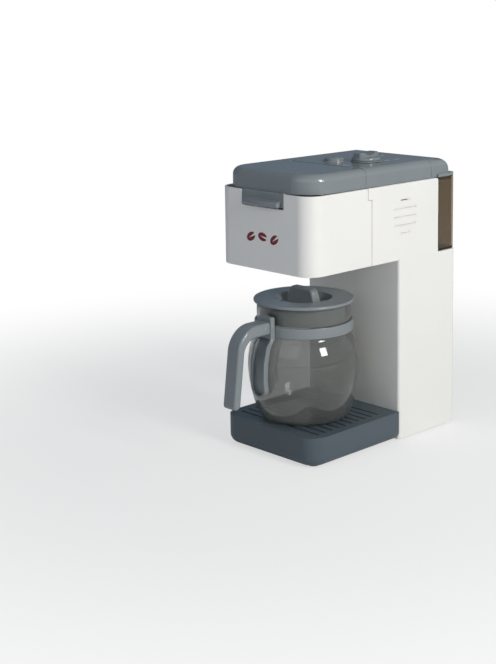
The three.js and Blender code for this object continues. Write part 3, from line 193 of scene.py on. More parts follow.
class FinishSettings(bpy.types.PropertyGroup):
    white: FloatVectorProperty(
        name="White", description="Colour of the white shells",
        default=linear("#f1f0ed"), size=3, min=0, max=1, subtype="COLOR",
    )
    grey: FloatVectorProperty(
        name="Grey", description="Colour of the grey top, the handle and the jug's lid",
        default=linear("#858c90"), size=3, min=0, max=1, subtype="COLOR",
    )
    # Painted shade: the tray grey is the grey plastic made darker, for the shade under the head.
    tray: FloatVectorProperty(
        name="Tray grey", description="Colour of the drip tray and its grate",
        default=linear("#505c64"), size=3, min=0, max=1, subtype="COLOR",
    )
    smoke: FloatVectorProperty(
        name="Smoke", description="Tint of the clear jug",
        default=linear("#b0b2b0"), size=3, min=0, max=1, subtype="COLOR",
    )
    brown: FloatVectorProperty(
        name="Brown smoke", description="Tint of the clear water tank",
        default=linear("#9b8f7c"), size=3, min=0, max=1, subtype="COLOR",
    )
    print_red: FloatVectorProperty(
        name="Print", description="Colour of the printed beans",
        default=linear("#7d2430"), size=3, min=0, max=1, subtype="COLOR",
    )


class StageSettings(bpy.types.PropertyGroup):
    key_power: FloatProperty(
        name="Key lamp", description="Power of the main soft lamp, low at the right",
        default=13.4, min=0, max=200, unit="POWER",
    )
    front_power: FloatProperty(
        name="Front lamp", description="Power of the large dim lamp at the front",
        default=2.6, min=0, max=200, unit="POWER",
    )
    fill: FloatProperty(
        name="Fill", description="Strength of the light from all round", default=0.28, min=0, max=2,
    )
    floor: FloatVectorProperty(
        name="Floor", description="Colour of the floor",
        default=linear("#f2f2f2"), size=3, min=0, max=1, subtype="COLOR",
    )


# Shapes: each starts from a face or a few vertices and is shaped by mesh operators


def around(middle, reach):
    """The span that reaches equally far to both sides of a middle."""
    return (middle - reach, middle + reach)


def across(inset=0):
    """The span from one side of the toy to the other, less an inset at both."""
    return around(0, HALF_WIDTH - inset)


def corners_of(first, second):
    """The corners of the rectangle over two spans, anticlockwise from its low corner."""
    return [(first[0], second[0]), (first[1], second[0]), (first[1], second[1]), (first[0], second[1])]


def in_mm(points, base=0):
    """Pairs of radius and height given in millimetres, the height from a base."""
    return [(out * MM, base + up * MM) for out, up in points]


def bevelled(bm, parts, radius, segments, affect="EDGES", clamp=False):
    bmesh.ops.bevel(
        bm, geom=parts, offset=radius, offset_type="OFFSET", segments=segments, profile=0.5,
        affect=affect, clamp_overlap=clamp, material=-1,
    )
    return bm


def face_of(points, radii, segments):
    """A flat face round the points, each corner rounded by its own radius."""
    bm = bmesh.new()
    corners = [bm.verts.new(point) for point in points]
    bm.faces.new(corners)
    for radius in sorted(set(radii) - {0}):
        chosen = [corner for corner, own in zip(corners, radii) if own == radius]
        bevelled(bm, chosen, radius, segments, affect="VERTICES")
    return bm


def grown(bm, along):
    """The face run along a direction, as a closed solid."""
    made = bmesh.ops.extrude_face_region(bm, geom=bm.faces[:])["geom"]
    moved = [part for part in made if isinstance(part, bmesh.types.BMVert)]
    bmesh.ops.translate(bm, vec=along, verts=moved)
    bmesh.ops.recalc_face_normals(bm, faces=bm.faces)
    return bm


def block(x, y, z, radii=(), segments=12):
    """An upright block; radii go round its plan from the low corner, anticlockwise."""
    points = [(*corner, z[0]) for corner in corners_of(x, y)]
    return grown(face_of(points, radii, segments), (0, 0, z[1] - z[0]))


def run_across(points, x, radii=(), segments=12):
    """A shape drawn in Y and Z, run along X."""
    return grown(face_of([(x[0], y, z) for y, z in points], radii, segments), (x[1] - x[0], 0, 0))


def run_back(points, y, radii=(), segments=12):
    """A shape drawn in X and Z, run along Y."""
    return grown(face_of([(x, y[0], z) for x, z in points], radii, segments), (0, y[1] - y[0], 0))


def round_bar(axis, radius, span, centre, segments=48):
    """A round bar along one axis through the centre point."""
    turn = (Matrix.Rotation(math.pi / 2, 4, "Y"), Matrix.Rotation(math.pi / 2, 4, "X"), Matrix())[axis]
    place = Vector(centre)
    place[axis] = (span[0] + span[1]) / 2
    bm = bmesh.new()
    bmesh.ops.create_cone(
        bm, cap_ends=True, segments=segments, radius1=radius, radius2=radius,
        depth=abs(span[1] - span[0]), matrix=Matrix.Translation(place) @ turn,
    )
    return bm


def spun(profile, centre, steps=96):
    """A profile of radii and heights spun once round an upright line."""
    bm = bmesh.new()
    chain = [bm.verts.new((centre[X] + out, centre[Y], centre[Z] + up)) for out, up in profile]
    links = [bm.edges.new((a, b)) for a, b in zip(chain, chain[1:])]
    if profile[0][0] > TOUCH:
        links.append(bm.edges.new((chain[-1], chain[0])))
    bmesh.ops.spin(
        bm, geom=chain + links, cent=(centre[X], centre[Y], 0), axis=(0, 0, 1),
        angle=2 * math.pi, steps=steps, use_merge=True,
    )
    bmesh.ops.remove_doubles(bm, verts=bm.verts, dist=TOUCH / 2)
    bmesh.ops.recalc_face_normals(bm, faces=bm.faces)
    return bm


def curve(start, first, second, end, steps):
    """Points along a bezier curve, its two ends included."""
    points = geometry.interpolate_bezier(*(Vector((*p, 0)) for p in (start, first, second, end)), steps)
    return [(point.x, point.y) for point in points]


def edges_at(bm, axis, place):
    """The edges that lie in a plane square to one axis."""
    return {e for e in bm.edges if all(abs(v.co[axis] - place) < TOUCH for v in e.verts)}


def rolled(bm, edges, radius, segments=6):
    """Rounds the chosen edges."""
    return bevelled(bm, list(edges), radius, segments)


def softened(bm, radius=EDGE, angle=50, segments=2):
    """Rounds every edge that is sharper than the angle."""
    limit = math.radians(angle)
    sharp = [e for e in bm.edges if len(e.link_faces) == 2 and e.calc_face_angle(0) > limit]
    return bevelled(bm, sharp, radius, segments, clamp=True)


def placed(name, data):
    """A new object in the scene."""
    made = bpy.data.objects.new(name, data)
    bpy.context.scene.collection.objects.link(made)
    return made


def mesh_from(bm, name):
    mesh = bpy.data.meshes.new(name)
    bm.to_mesh(mesh)
    bm.free()
    return mesh


def gathered(shapes):
    """Shapes that don't touch, as one."""
    whole = bmesh.new()
    for shape in shapes:
        whole.from_mesh(mesh_from(shape, "shape"))
    return whole


def merged(bm, flatness):
    """The solid without doubles, and with its flat faces whole."""
    bmesh.ops.remove_doubles(bm, verts=bm.verts, dist=TOUCH / 4)
    bmesh.ops.dissolve_limit(
        bm, angle_limit=math.radians(flatness), verts=bm.verts, edges=bm.edges,
        use_dissolve_boundaries=False,
    )
    return bm


def combined(bm, tools, operation):
    """The solid after each tool is cut from it, joined to it, or kept in common with it."""
    for tool in tools:
        pair = [placed("work", mesh_from(shape, "work")) for shape in (bm, tool)]
        step = pair[0].modifiers.new("work", "BOOLEAN")
        step.operation, step.solver, step.object = operation, "EXACT", pair[1]
        graph = bpy.context.evaluated_depsgraph_get()
        bm = bmesh.new()
        bm.from_object(pair[0], graph)
        for part in pair:
            mesh = part.data
            bpy.data.objects.remove(part)
            bpy.data.meshes.remove(mesh)
    return merged(bm, 0.2)


def cut(bm, *tools):
    return combined(bm, tools, "DIFFERENCE")


def joined(bm, *tools):
    return combined(bm, tools, "UNION")


def shared(bm, *tools):
    return combined(bm, tools, "INTERSECT")


def refined(node):
    """A CAD node's own shape, as a mesh to work on."""
    bm = bmesh.new()
    bm.from_mesh(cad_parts[node].data)
    return merged(bm, 0.5)


def middle_of(node):
    """The middle of a CAD node, seen from above."""
    low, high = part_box(node)
    return ((low.x + high.x) / 2, (low.y + high.y) / 2, 0)


def piece(bm, name, finish, node=None, body="machine", levels=0, sharp_from=40):
    """Makes the object, smooth but for its sharp edges. It rides on its body and stands for its CAD node."""
    mesh = mesh_from(bm, name)
    mesh.materials.append(bpy.data.materials[finish])
    for polygon in mesh.polygons:
        polygon.use_smooth = True
    mesh.set_sharp_from_angle(angle=math.radians(sharp_from))
    made = placed(name, mesh)
    if levels:
        smooth = made.modifiers.new("Smooth surface", "SUBSURF")
        smooth.levels = smooth.render_levels = levels
    weighted = made.modifiers.new("Even shading", "WEIGHTED_NORMAL")
    weighted.keep_sharp = True
    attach(made, body)
    if node:
        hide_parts(node)
    return made


def dress(finish, *nodes):
    """Gives CAD nodes their finish."""
    for node in nodes:
        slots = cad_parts[node].data.materials
        slots.clear()
        slots.append(bpy.data.materials[finish])


# Materials


def add_node(tree, kind, inputs=None, stops=(), **settings):
    """Adds a node, with its settings, its values, the sockets that feed it and the stops of a colour ramp."""
    node = tree.nodes.new(kind)
    for key, value in settings.items():
        setattr(node, key, value)
    for key, value in (inputs or {}).items():
        if isinstance(value, bpy.types.NodeSocket):
            tree.links.new(value, node.inputs[key])
        else:
            node.inputs[key].default_value = value
    for number, (position, colour) in enumerate(stops):
        stop = node.color_ramp.elements[number]
        stop.position, stop.color = position, (*colour, 1)
    return node


def per_metre(size):
    """A texture scale that repeats once in the given size."""
    return 1 / size


def empty_tree(owner):
    """The node tree of a new material or world, with nothing in it."""
    owner.use_nodes = True
    owner.node_tree.nodes.clear()
    return owner.node_tree


def moulded_plastic(name, colour, rough=0.3, grain=0.9 * MM, relief=0.02 * MM, specular=0.5, drift=0.04):
    """Injection-moulded plastic: a very fine orange-peel relief, faint clouds in its colour and gloss, and edges
    softened by the mould."""
    tree = empty_tree(bpy.data.materials.new(name))
    place = add_node(tree, "ShaderNodeTexCoord").outputs["Object"]
    cloud = add_node(tree, "ShaderNodeTexNoise", {
        "Vector": place, "Scale": per_metre(38 * MM), "Detail": 3, "Roughness": 0.5,
    })
    peel = add_node(tree, "ShaderNodeTexNoise", {
        "Vector": place, "Scale": per_metre(grain), "Detail": 2, "Roughness": 0.6,
    })
    start, end = 0.15, 0.85
    darker = [share * (1 - drift) for share in colour]
    lighter = [min(share * (1 + drift / 2), 1) for share in colour]
    tone = add_node(tree, "ShaderNodeValToRGB", {"Fac": cloud.outputs["Fac"]}, ((start, darker), (end, lighter)))
    tone.color_ramp.interpolation = "EASE"
    gloss = add_node(tree, "ShaderNodeMapRange", {
        "Value": cloud.outputs["Fac"], "From Min": start, "From Max": end,
        "To Min": rough * 0.88, "To Max": rough * 1.14,
    })
    soft = add_node(tree, "ShaderNodeBevel", {"Radius": 0.35 * MM}, samples=4)
    skin = add_node(tree, "ShaderNodeBump", {
        "Height": peel.outputs["Fac"], "Strength": 0.5, "Distance": relief, "Normal": soft.outputs["Normal"],
    })
    plastic = add_node(tree, "ShaderNodeBsdfPrincipled", {
        "Base Color": tone.outputs["Color"], "Roughness": gloss.outputs["Result"],
        "IOR": 1.53, "Specular IOR Level": specular, "Normal": skin.outputs["Normal"],
    })
    add_node(tree, "ShaderNodeOutputMaterial", {"Surface": plastic.outputs["BSDF"]})


def clear_plastic(name, tint, film=None, rough=0.012, ripple=0.12 * MM, haze=0):
    """Clear tinted styrene with the slow ripple of a moulded wall. Lamps shine through it in the film's tint."""
    tree = empty_tree(bpy.data.materials.new(name))
    place = add_node(tree, "ShaderNodeTexCoord").outputs["Object"]
    waves = add_node(tree, "ShaderNodeTexNoise", {
        "Vector": place, "Scale": per_metre(22 * MM), "Detail": 1, "Roughness": 0.4,
    })
    wear = add_node(tree, "ShaderNodeTexNoise", {
        "Vector": place, "Scale": per_metre(6 * MM), "Detail": 3, "Roughness": 0.6,
    })
    gloss = add_node(tree, "ShaderNodeMapRange", {
        "Value": wear.outputs["Fac"], "From Min": 0.35, "From Max": 0.7, "To Min": rough, "To Max": rough * 1.6,
    })
    skin = add_node(tree, "ShaderNodeBump", {
        "Height": waves.outputs["Fac"], "Strength": 0.3, "Distance": ripple,
    })
    glass = add_node(tree, "ShaderNodeBsdfPrincipled", {
        "Base Color": (*tint, 1), "Roughness": gloss.outputs["Result"], "IOR": 1.49,
        "Transmission Weight": 1 - haze, "Normal": skin.outputs["Normal"],
    })
    pass_on = add_node(tree, "ShaderNodeBsdfTransparent", {"Color": (*(film or tint), 1)})
    ray = add_node(tree, "ShaderNodeLightPath")
    mixed = add_node(tree, "ShaderNodeMixShader", {
        0: ray.outputs["Is Shadow Ray"], 1: glass.outputs["BSDF"], 2: pass_on.outputs["BSDF"],
    })
    add_node(tree, "ShaderNodeOutputMaterial", {"Surface": mixed.outputs["Shader"]})


def bright_metal(name, colour, rough=0.28):
    """Zinc-plated or nickel-plated steel: a fine drawn grain and slight cloudiness of the plating."""
    tree = empty_tree(bpy.data.materials.new(name))
    place = add_node(tree, "ShaderNodeTexCoord").outputs["Object"]
    stretch = add_node(tree, "ShaderNodeMapping", {"Vector": place, "Scale": (1, 1, 8)})
    grain = add_node(tree, "ShaderNodeTexNoise", {
        "Vector": stretch.outputs["Vector"], "Scale": per_metre(1.2 * MM), "Detail": 3,
    })
    gloss = add_node(tree, "ShaderNodeMapRange", {
        "Value": grain.outputs["Fac"], "To Min": rough * 0.7, "To Max": rough * 1.4,
    })
    skin = add_node(tree, "ShaderNodeBump", {
        "Height": grain.outputs["Fac"], "Strength": 0.2, "Distance": 0.02 * MM,
    })
    metal = add_node(tree, "ShaderNodeBsdfPrincipled", {
        "Base Color": (*colour, 1), "Metallic": 1.0, "Roughness": gloss.outputs["Result"],
        "Normal": skin.outputs["Normal"],
    })
    add_node(tree, "ShaderNodeOutputMaterial", {"Surface": metal.outputs["BSDF"]})


def moulded_granules(name):
    """Brown plastic moulded like a heap of ground coffee: cells of uneven tone with dark crevices."""
    tree = empty_tree(bpy.data.materials.new(name))
    place = add_node(tree, "ShaderNodeTexCoord").outputs["Object"]
    grains = add_node(tree, "ShaderNodeTexVoronoi", {"Vector": place, "Scale": per_metre(1.9 * MM)})
    dust = add_node(tree, "ShaderNodeTexNoise", {"Vector": place, "Scale": per_metre(0.6 * MM), "Detail": 4})
    tone = add_node(tree, "ShaderNodeValToRGB", {"Fac": grains.outputs["Color"]}, (
        (0, linear("#321c12")), (1, linear("#6b4128")),
    ))
    deep = add_node(tree, "ShaderNodeMath", {0: grains.outputs["Distance"], 1: -0.7}, operation="MULTIPLY")
    height = add_node(tree, "ShaderNodeMath", {0: deep.outputs[0], 1: dust.outputs["Fac"]}, operation="ADD")
    skin = add_node(tree, "ShaderNodeBump", {"Height": height.outputs[0], "Strength": 0.9, "Distance": 0.8 * MM})
    plastic = add_node(tree, "ShaderNodeBsdfPrincipled", {
        "Base Color": tone.outputs["Color"], "Roughness": 0.62, "Normal": skin.outputs["Normal"],
    })
    add_node(tree, "ShaderNodeOutputMaterial", {"Surface": plastic.outputs["BSDF"]})


def solder_masked_board(name):
    """Green circuit board: glossy lacquer over fine paler tracks."""
    tree = empty_tree(bpy.data.materials.new(name))
    place = add_node(tree, "ShaderNodeTexCoord").outputs["Object"]
    tracks = add_node(tree, "ShaderNodeTexBrick", {
        "Vector": place, "Scale": per_metre(9 * MM), "Mortar Size": 0.05,
        "Color1": (*linear("#1f5a37"), 1), "Color2": (*linear("#25663f"), 1), "Mortar": (*linear("#4d9063"), 1),
    })
    lacquer = add_node(tree, "ShaderNodeBsdfPrincipled", {
        "Base Color": tracks.outputs["Color"], "Roughness": 0.35, "IOR": 1.5,
    })
    add_node(tree, "ShaderNodeOutputMaterial", {"Surface": lacquer.outputs["BSDF"]})


def battery_sleeve(name):
    """Shrink sleeve round a dry cell: deep blue with a pale band near one end, slightly wrinkled."""
    tree = empty_tree(bpy.data.materials.new(name))
    low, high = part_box("battery_2")
    place = add_node(tree, "ShaderNodeTexCoord").outputs["Object"]
    along = add_node(tree, "ShaderNodeSeparateXYZ", {"Vector": place})
    share = add_node(tree, "ShaderNodeMapRange", {"Value": along.outputs["Y"], "From Min": low.y, "From Max": high.y})
    tone = add_node(tree, "ShaderNodeValToRGB", {"Fac": share.outputs["Result"]}, (
        (0, linear("#22406b")), (0.74, linear("#c2c8cc")),
    ))
    tone.color_ramp.interpolation = "CONSTANT"
    wrinkle = add_node(tree, "ShaderNodeTexNoise", {"Vector": place, "Scale": per_metre(5 * MM), "Detail": 2})
    skin = add_node(tree, "ShaderNodeBump", {
        "Height": wrinkle.outputs["Fac"], "Strength": 0.2, "Distance": 0.1 * MM,
    })
    sleeve = add_node(tree, "ShaderNodeBsdfPrincipled", {
        "Base Color": tone.outputs["Color"], "Roughness": 0.32, "Normal": skin.outputs["Normal"],
    })
    add_node(tree, "ShaderNodeOutputMaterial", {"Surface": sleeve.outputs["BSDF"]})


def screen_print(name, colour):
    """Pad-printed ink: matt, slightly uneven in cover."""
    tree = empty_tree(bpy.data.materials.new(name))
    place = add_node(tree, "ShaderNodeTexCoord").outputs["Object"]
    cover = add_node(tree, "ShaderNodeTexNoise", {"Vector": place, "Scale": per_metre(1.5 * MM), "Detail": 3})
    tone = add_node(tree, "ShaderNodeValToRGB", {"Fac": cover.outputs["Fac"]}, (
        (0, [share * 0.8 for share in colour]), (1, [min(share * 1.2, 1) for share in colour]),
    ))
    ink = add_node(tree, "ShaderNodeBsdfPrincipled", {"Base Color": tone.outputs["Color"], "Roughness": 0.5})
    add_node(tree, "ShaderNodeOutputMaterial", {"Surface": ink.outputs["BSDF"]})


class TOYCOFFEE_OT_finishes(bpy.types.Operator):
    """Makes the plastics, metals, rubber, print and clear tints"""

    bl_idname = "toycoffee.finishes"
    bl_label = "Finishes"

    def execute(self, context):
        chosen = context.scene.toy_finishes
        moulded_plastic(WHITE, chosen.white, specular=0.4, drift=0.015)
        moulded_plastic(GREY, chosen.grey, rough=0.15, relief=0.006 * MM)
        moulded_plastic(SATIN, chosen.grey, rough=0.38, relief=0.03 * MM, specular=0.4)
        # Painted shade: the tray and grate are the same grey plastic, coloured darker for the shade they sit in.
        moulded_plastic(SHADED_TRAY, chosen.tray, specular=0.4)
        moulded_plastic(DARK, linear("#3c4247"), rough=0.5, relief=0.04 * MM)
        moulded_plastic(BLACK, linear("#1f2123"), rough=0.5)
        moulded_plastic(RUBBER, linear("#25272a"), rough=0.85, relief=0.06 * MM, specular=0.3)
        moulded_plastic(
            "speaker card", linear("#2b2a29"), rough=0.9, grain=0.6 * MM, relief=0.08 * MM, specular=0.2,
        )
        clear_plastic(SMOKE, chosen.smoke, linear("#b9bbb9"), rough=0, ripple=0.01 * MM, haze=0.1)
        clear_plastic(BROWN, chosen.brown, linear("#a2957f"))
        clear_plastic(MILKY, linear("#f1eedd"), rough=0.3)
        clear_plastic("soft clear vinyl", linear("#e4e8e2"), rough=0.18)
        bright_metal(STEEL, linear("#c9ccd0"))
        moulded_granules(GRANULES)
        solder_masked_board("solder-masked board")
        battery_sleeve("battery sleeve")
        screen_print(RED_PRINT, chosen.print_red)
        screen_print(PALE_PRINT, linear("#b9c1c7"))
        return {"FINISHED"}


# Stage


def toward(azimuth, elevation):
    """The direction from the toy to a lamp or the camera; azimuth 0 is in front and 90 at the right."""
    a, e = math.radians(azimuth), math.radians(elevation)
    return Vector((math.sin(a) * math.cos(e), -math.cos(a) * math.cos(e), math.sin(e)))


class TOYCOFFEE_OT_stage(bpy.types.Operator):
    """Sets the camera, two soft lamps, the fill and a pale floor"""

    bl_idname = "toycoffee.stage"
    bl_label = "Camera, lamps and floor"

    def execute(self, context):
        settings = context.scene.toy_stage
        self.add_camera(context)
        self.add_lamp("Key lamp", settings.key_power, toward(87, 22), (0.36, 0.56), "#fffdf8")
        self.add_lamp("Front lamp", settings.front_power, toward(10, 30), (1.2, 1.2), "#f4f8ff")
        self.add_floor(settings.floor)
        self.add_surroundings(context, settings.fill)
        context.scene.view_settings.view_transform = "Standard"
        # The default blue-noise pattern leaves a fine grid in the clear plastics that the denoiser keeps.
        context.scene.cycles.sampling_pattern = "TABULATED_SOBOL"
        return {"FINISHED"}

    def add_camera(self, context):
        """The photo's view, found from the body's straight edges; the shift keeps its uprights parallel."""
        azimuth, elevation, roll = 45.10, 8.50, math.radians(-0.52)
        away, aside, above = 1159.9, 25.3, 229.2  # from the foot of the front, in millimetres
        width, height, focal, axis = 496, 664, 1310, (293.9, 197)  # of the photo, in pixels
        sensor = 36
        back = toward(azimuth, elevation)
        level = Vector((math.cos(math.radians(azimuth)), math.sin(math.radians(azimuth)), 0))
        upright = back.cross(level)
        right = math.cos(roll) * level + math.sin(roll) * upright
        up = -math.sin(roll) * level + math.cos(roll) * upright
        camera = placed("Camera", bpy.data.cameras.new("Camera"))
        spot = Vector((0, FRONT, GROUND)) + (back * away + right * aside + up * above) * MM
        turn = Matrix((right, up, back)).transposed().to_4x4()
        camera.matrix_world = Matrix.Translation(spot) @ turn
        camera.data.sensor_width = sensor
        camera.data.lens = focal * sensor / height
        camera.data.shift_x = (width / 2 - axis[X]) / height
        camera.data.shift_y = (axis[Y] - height / 2) / height
        camera.data.clip_start, camera.data.clip_end = 0.05, 30
        camera.data.dof.use_dof = False
        context.scene.camera = camera

    def add_lamp(self, name, power, away, size, colour):
        """A rectangular soft lamp that looks at the middle of the toy."""
        data = bpy.data.lights.new(name, "AREA")
        data.shape = "RECTANGLE"
        data.size, data.size_y = size
        data.energy = power
        data.color = linear(colour)
        lamp = placed(name, data)
        middle, distance = Vector((0, FRONT + 70 * MM, GROUND + 130 * MM)), 1.5
        lamp.location = middle + away * distance
        lamp.rotation_mode = "QUATERNION"
        lamp.rotation_quaternion = away.to_track_quat("Z", "Y")

    def add_floor(self, colour):
        """Shown nearly white, so that it meets the background, but it still takes the toy's shadow."""
        bm = bmesh.new()
        bmesh.ops.create_grid(bm, x_segments=8, y_segments=8, size=6)  # 12 m across
        floor = placed("Floor", mesh_from(bm, "Floor"))
        material = bpy.data.materials.new("matt floor paint")
        tree = empty_tree(material)
        place = add_node(tree, "ShaderNodeTexCoord").outputs["Object"]
        mottle = add_node(tree, "ShaderNodeTexNoise", {"Vector": place, "Scale": per_metre(0.25), "Detail": 3})
        tone = add_node(tree, "ShaderNodeValToRGB", {"Fac": mottle.outputs["Fac"]}, (
            (0, [share * 0.98 for share in colour]), (1, colour),
        ))
        paint = add_node(tree, "ShaderNodeBsdfDiffuse", {"Color": tone.outputs["Color"]})
        glow = add_node(tree, "ShaderNodeEmission", {"Color": (1, 1, 1, 1), "Strength": 1})
        ray = add_node(tree, "ShaderNodeLightPath")
        seen = add_node(tree, "ShaderNodeMath", {
            0: ray.outputs["Is Camera Ray"], 1: ray.outputs["Is Transmission Ray"],
        }, operation="MAXIMUM")
        away = add_node(tree, "ShaderNodeVectorMath", {0: place}, operation="LENGTH")
        fade = add_node(tree, "ShaderNodeMapRange", {
            "Value": away.outputs["Value"], "From Min": 0.2, "From Max": 0.7, "To Min": 0.6, "To Max": 1.0,
        }, interpolation_type="SMOOTHSTEP")
        share = add_node(tree, "ShaderNodeMath", {
            0: seen.outputs[0], 1: fade.outputs["Result"],
        }, operation="MULTIPLY")
        mixed = add_node(tree, "ShaderNodeMixShader", {
            0: share.outputs[0], 1: paint.outputs["BSDF"], 2: glow.outputs["Emission"],
        })
        add_node(tree, "ShaderNodeOutputMaterial", {"Surface": mixed.outputs["Shader"]})
        floor.data.materials.append(material)

    def add_surroundings(self, context, fill):
        """White where the camera sees it, straight or through glass; a soft change from cool to pale in gloss;
        elsewhere a weak, cool light."""
        world = bpy.data.worlds.new("Studio")
        tree = empty_tree(world)
        ray = add_node(tree, "ShaderNodeLightPath")
        seen = add_node(tree, "ShaderNodeMath", {
            0: ray.outputs["Is Camera Ray"], 1: ray.outputs["Is Transmission Ray"],
        }, operation="MAXIMUM")
        bright = add_node(tree, "ShaderNodeBackground", {"Color": (1, 1, 1, 1), "Strength": 1})
        place = add_node(tree, "ShaderNodeTexCoord").outputs["Generated"]
        sideways = add_node(tree, "ShaderNodeSeparateXYZ", {"Vector": place})
        share = add_node(tree, "ShaderNodeMapRange", {"Value": sideways.outputs["X"], "From Min": -1, "From Max": 1})
        tone = add_node(tree, "ShaderNodeValToRGB", {"Fac": share.outputs["Result"]}, (
            (0.1, linear("#5d7386")), (0.9, linear("#f2f3f4")),
        ))
        gloss = add_node(tree, "ShaderNodeBackground", {"Color": tone.outputs["Color"], "Strength": 0.8})
        soft = add_node(tree, "ShaderNodeBackground", {"Color": (*linear("#e3ebf5"), 1), "Strength": fill})
        lit = add_node(tree, "ShaderNodeMixShader", {
            0: ray.outputs["Is Glossy Ray"], 1: soft.outputs[0], 2: gloss.outputs[0],
        })
        mixed = add_node(tree, "ShaderNodeMixShader", {0: seen.outputs[0], 1: lit.outputs[0], 2: bright.outputs[0]})
        add_node(tree, "ShaderNodeOutputWorld", {"Surface": mixed.outputs["Shader"]})
        context.scene.world = world


# White body


class TOYCOFFEE_OT_body(bpy.types.Operator):
    """Builds the white shells: the rounded front of the head and the two halves of the column"""

    bl_idname = "toycoffee.body"
    bl_label = "White body"

    def execute(self, context):
        settings = context.scene.toy_head
        self.add_head(settings)
        for side in ("right", "left"):
            shell = cut(refined(f"{side}_body_shell"), self.tank_corner())
            if side == "right":
                shell = self.with_vents(shell)
            piece(softened(shell, settings.edge), f"{side}_body", WHITE, f"{side}_body_shell", sharp_from=50)
        dress(WHITE, "head_floor", "base_plate", "battery_box", "battery_door")
        return {"FINISHED"}

    def add_head(self, settings):
        """The head's front, with the jog of its seam and the notch for the pull tab."""
        corner, inner_corner = settings.corner, settings.corner - WALL
        above = BODY_TOP + OVERRUN
        jog_deep, jog_tall = 5 * MM, 10.65 * MM
        notch_half, notch_tall, notch_round = 26 * MM, 13.5 * MM, 1.2 * MM
        outer = block(across(), (FRONT, SEAM), (HEAD_BOTTOM, BODY_TOP), (corner, corner, 0, 0), 20)
        inner = block(across(WALL), (FRONT + WALL, SEAM + OVERRUN), (HEAD_BOTTOM - OVERRUN, above),
                      (inner_corner, inner_corner, 0, 0), 20)
        jog = block(across(-OVERRUN), (SEAM - jog_deep, SEAM + OVERRUN), (BODY_TOP - jog_tall, above))
        notch = run_back(
            corners_of(around(0, notch_half), (BODY_TOP - notch_tall, above)),
            (FRONT - OVERRUN, FRONT + WALL + OVERRUN), (notch_round, notch_round, 0, 0), 5,
        )
        head = softened(cut(outer, inner, jog, notch), settings.edge)
        piece(head, "head_front", WHITE, "head_front_shell")

    def tank_corner(self):
        """What is rounded off the white panel's upper corner beside the tank."""
        radius = 3 * MM
        centre = (TANK_FRONT - radius, BODY_TOP - radius)
        arc = [
            (centre[0] + radius * math.sin(angle), centre[1] + radius * math.cos(angle))
            for angle in (math.pi / 16 * step for step in range(9))  # a quarter turn in 8 steps
        ]
        behind, above = TANK_FRONT + OVERRUN, BODY_TOP + OVERRUN
        return run_across([(centre[0], above), *arc, (behind, centre[1]), (behind, above)], across(-OVERRUN))

    def with_vents(self, shell):
        """The speaker vents as they look: five narrow lines, each with a dot at its end; only the top one is open."""
        setback, middle, pitch = FRONT + 122 * MM, BODY_TOP - 30 * MM, 7.5 * MM
        line_half, line_deep, dot_radius, dot_deep = 0.3 * MM, 1.3 * MM, 1.1 * MM, 0.9 * MM
        outside = HALF_WIDTH + OVERRUN
        fills, lines, dots = [], [], []
        for row, reach, dot in zip(range(-2, 3), (7.1, 15.85, 15.85, 15.85, 7.1), (6, 13, 14.5, 13, 6)):
            level, half = middle + row * pitch, reach * MM
            fills.append(run_across(
                corners_of(around(setback, half), around(level, 1.35 * MM)),
                (HALF_WIDTH - 1.5 * MM, HALF_WIDTH - 0.2 * MM), (1.3 * MM,) * 4, 8,
            ))
            lines.append(block(
                (HALF_WIDTH - line_deep, outside), around(setback, half - 1 * MM), around(level, line_half),
            ))
            dots.append(round_bar(
                X, dot_radius, (HALF_WIDTH - dot_deep, outside), (0, setback + dot * MM, level), 20,
            ))
        top_row = around(middle + 2 * pitch, 0.4 * MM)
        slit = block((HALF_WIDTH - 4 * MM, HALF_WIDTH), around(setback, 5 * MM), top_row)
        return cut(joined(shell, gathered(fills)), gathered(lines), slit, gathered(dots))


class TOYCOFFEE_OT_print(bpy.types.Operator):
    """Prints three plain coffee beans on the head, and pale ticks on the grey top"""

    bl_idname = "toycoffee.print"
    bl_label = "Printed marks"

    def execute(self, context):
        length = context.scene.toy_head.bean_length
        middle = Vector((0, FRONT, BODY_TOP - 39.5 * MM))
        apart, lower = 14.5 * MM, 1.2 * MM
        beans = []
        for step, tilt in zip((-1, 0, 1), (28, -12, 34)):
            beans += self.bean(middle + Vector((step * apart, 0, -(step % 2) * lower)), length, tilt)
        piece(gathered(beans), "printed_beans", RED_PRINT)
        ticks = [
            block(around(x * MM, 0.6 * MM), around(FRONT + y * MM, along * MM / 2),
                  (TOP - 0.05 * MM, TOP + 0.08 * MM))
            for x, y, along in ((27, 77, 8), (29, 129.5, 7), (30.5, 141, 8), (1.5, 154.5, 6))
        ]
        piece(gathered(ticks), "printed_ticks", PALE_PRINT)
        return {"FINISHED"}

    def bean(self, centre, length, tilt):
        """The two halves of an ellipse, split by a groove along its length."""
        ink, broad, groove = 0.06 * MM, 0.68, 0.42 * MM
        turn = Matrix.Rotation(math.pi / 2, 4, "X") @ Matrix.Rotation(math.radians(tilt), 4, "Z")
        halves = []
        for side in (-1, 1):
            half = bmesh.new()
            bmesh.ops.create_circle(half, cap_ends=True, segments=40, radius=length / 2)
            bmesh.ops.scale(half, vec=(1, broad, 1), verts=half.verts)
            bmesh.ops.bisect_plane(
                half, geom=half.verts[:] + half.edges[:] + half.faces[:],
                plane_co=(0, side * groove, 0), plane_no=(0.12, -side, 0), clear_outer=True,
            )
            grown(half, (0, 0, 2 * ink))
            place = Matrix.Translation(centre - Vector((0, -ink, 0)))
            bmesh.ops.transform(half, matrix=place @ turn, verts=half.verts)
            halves.append(half)
        return halves


# Grey top


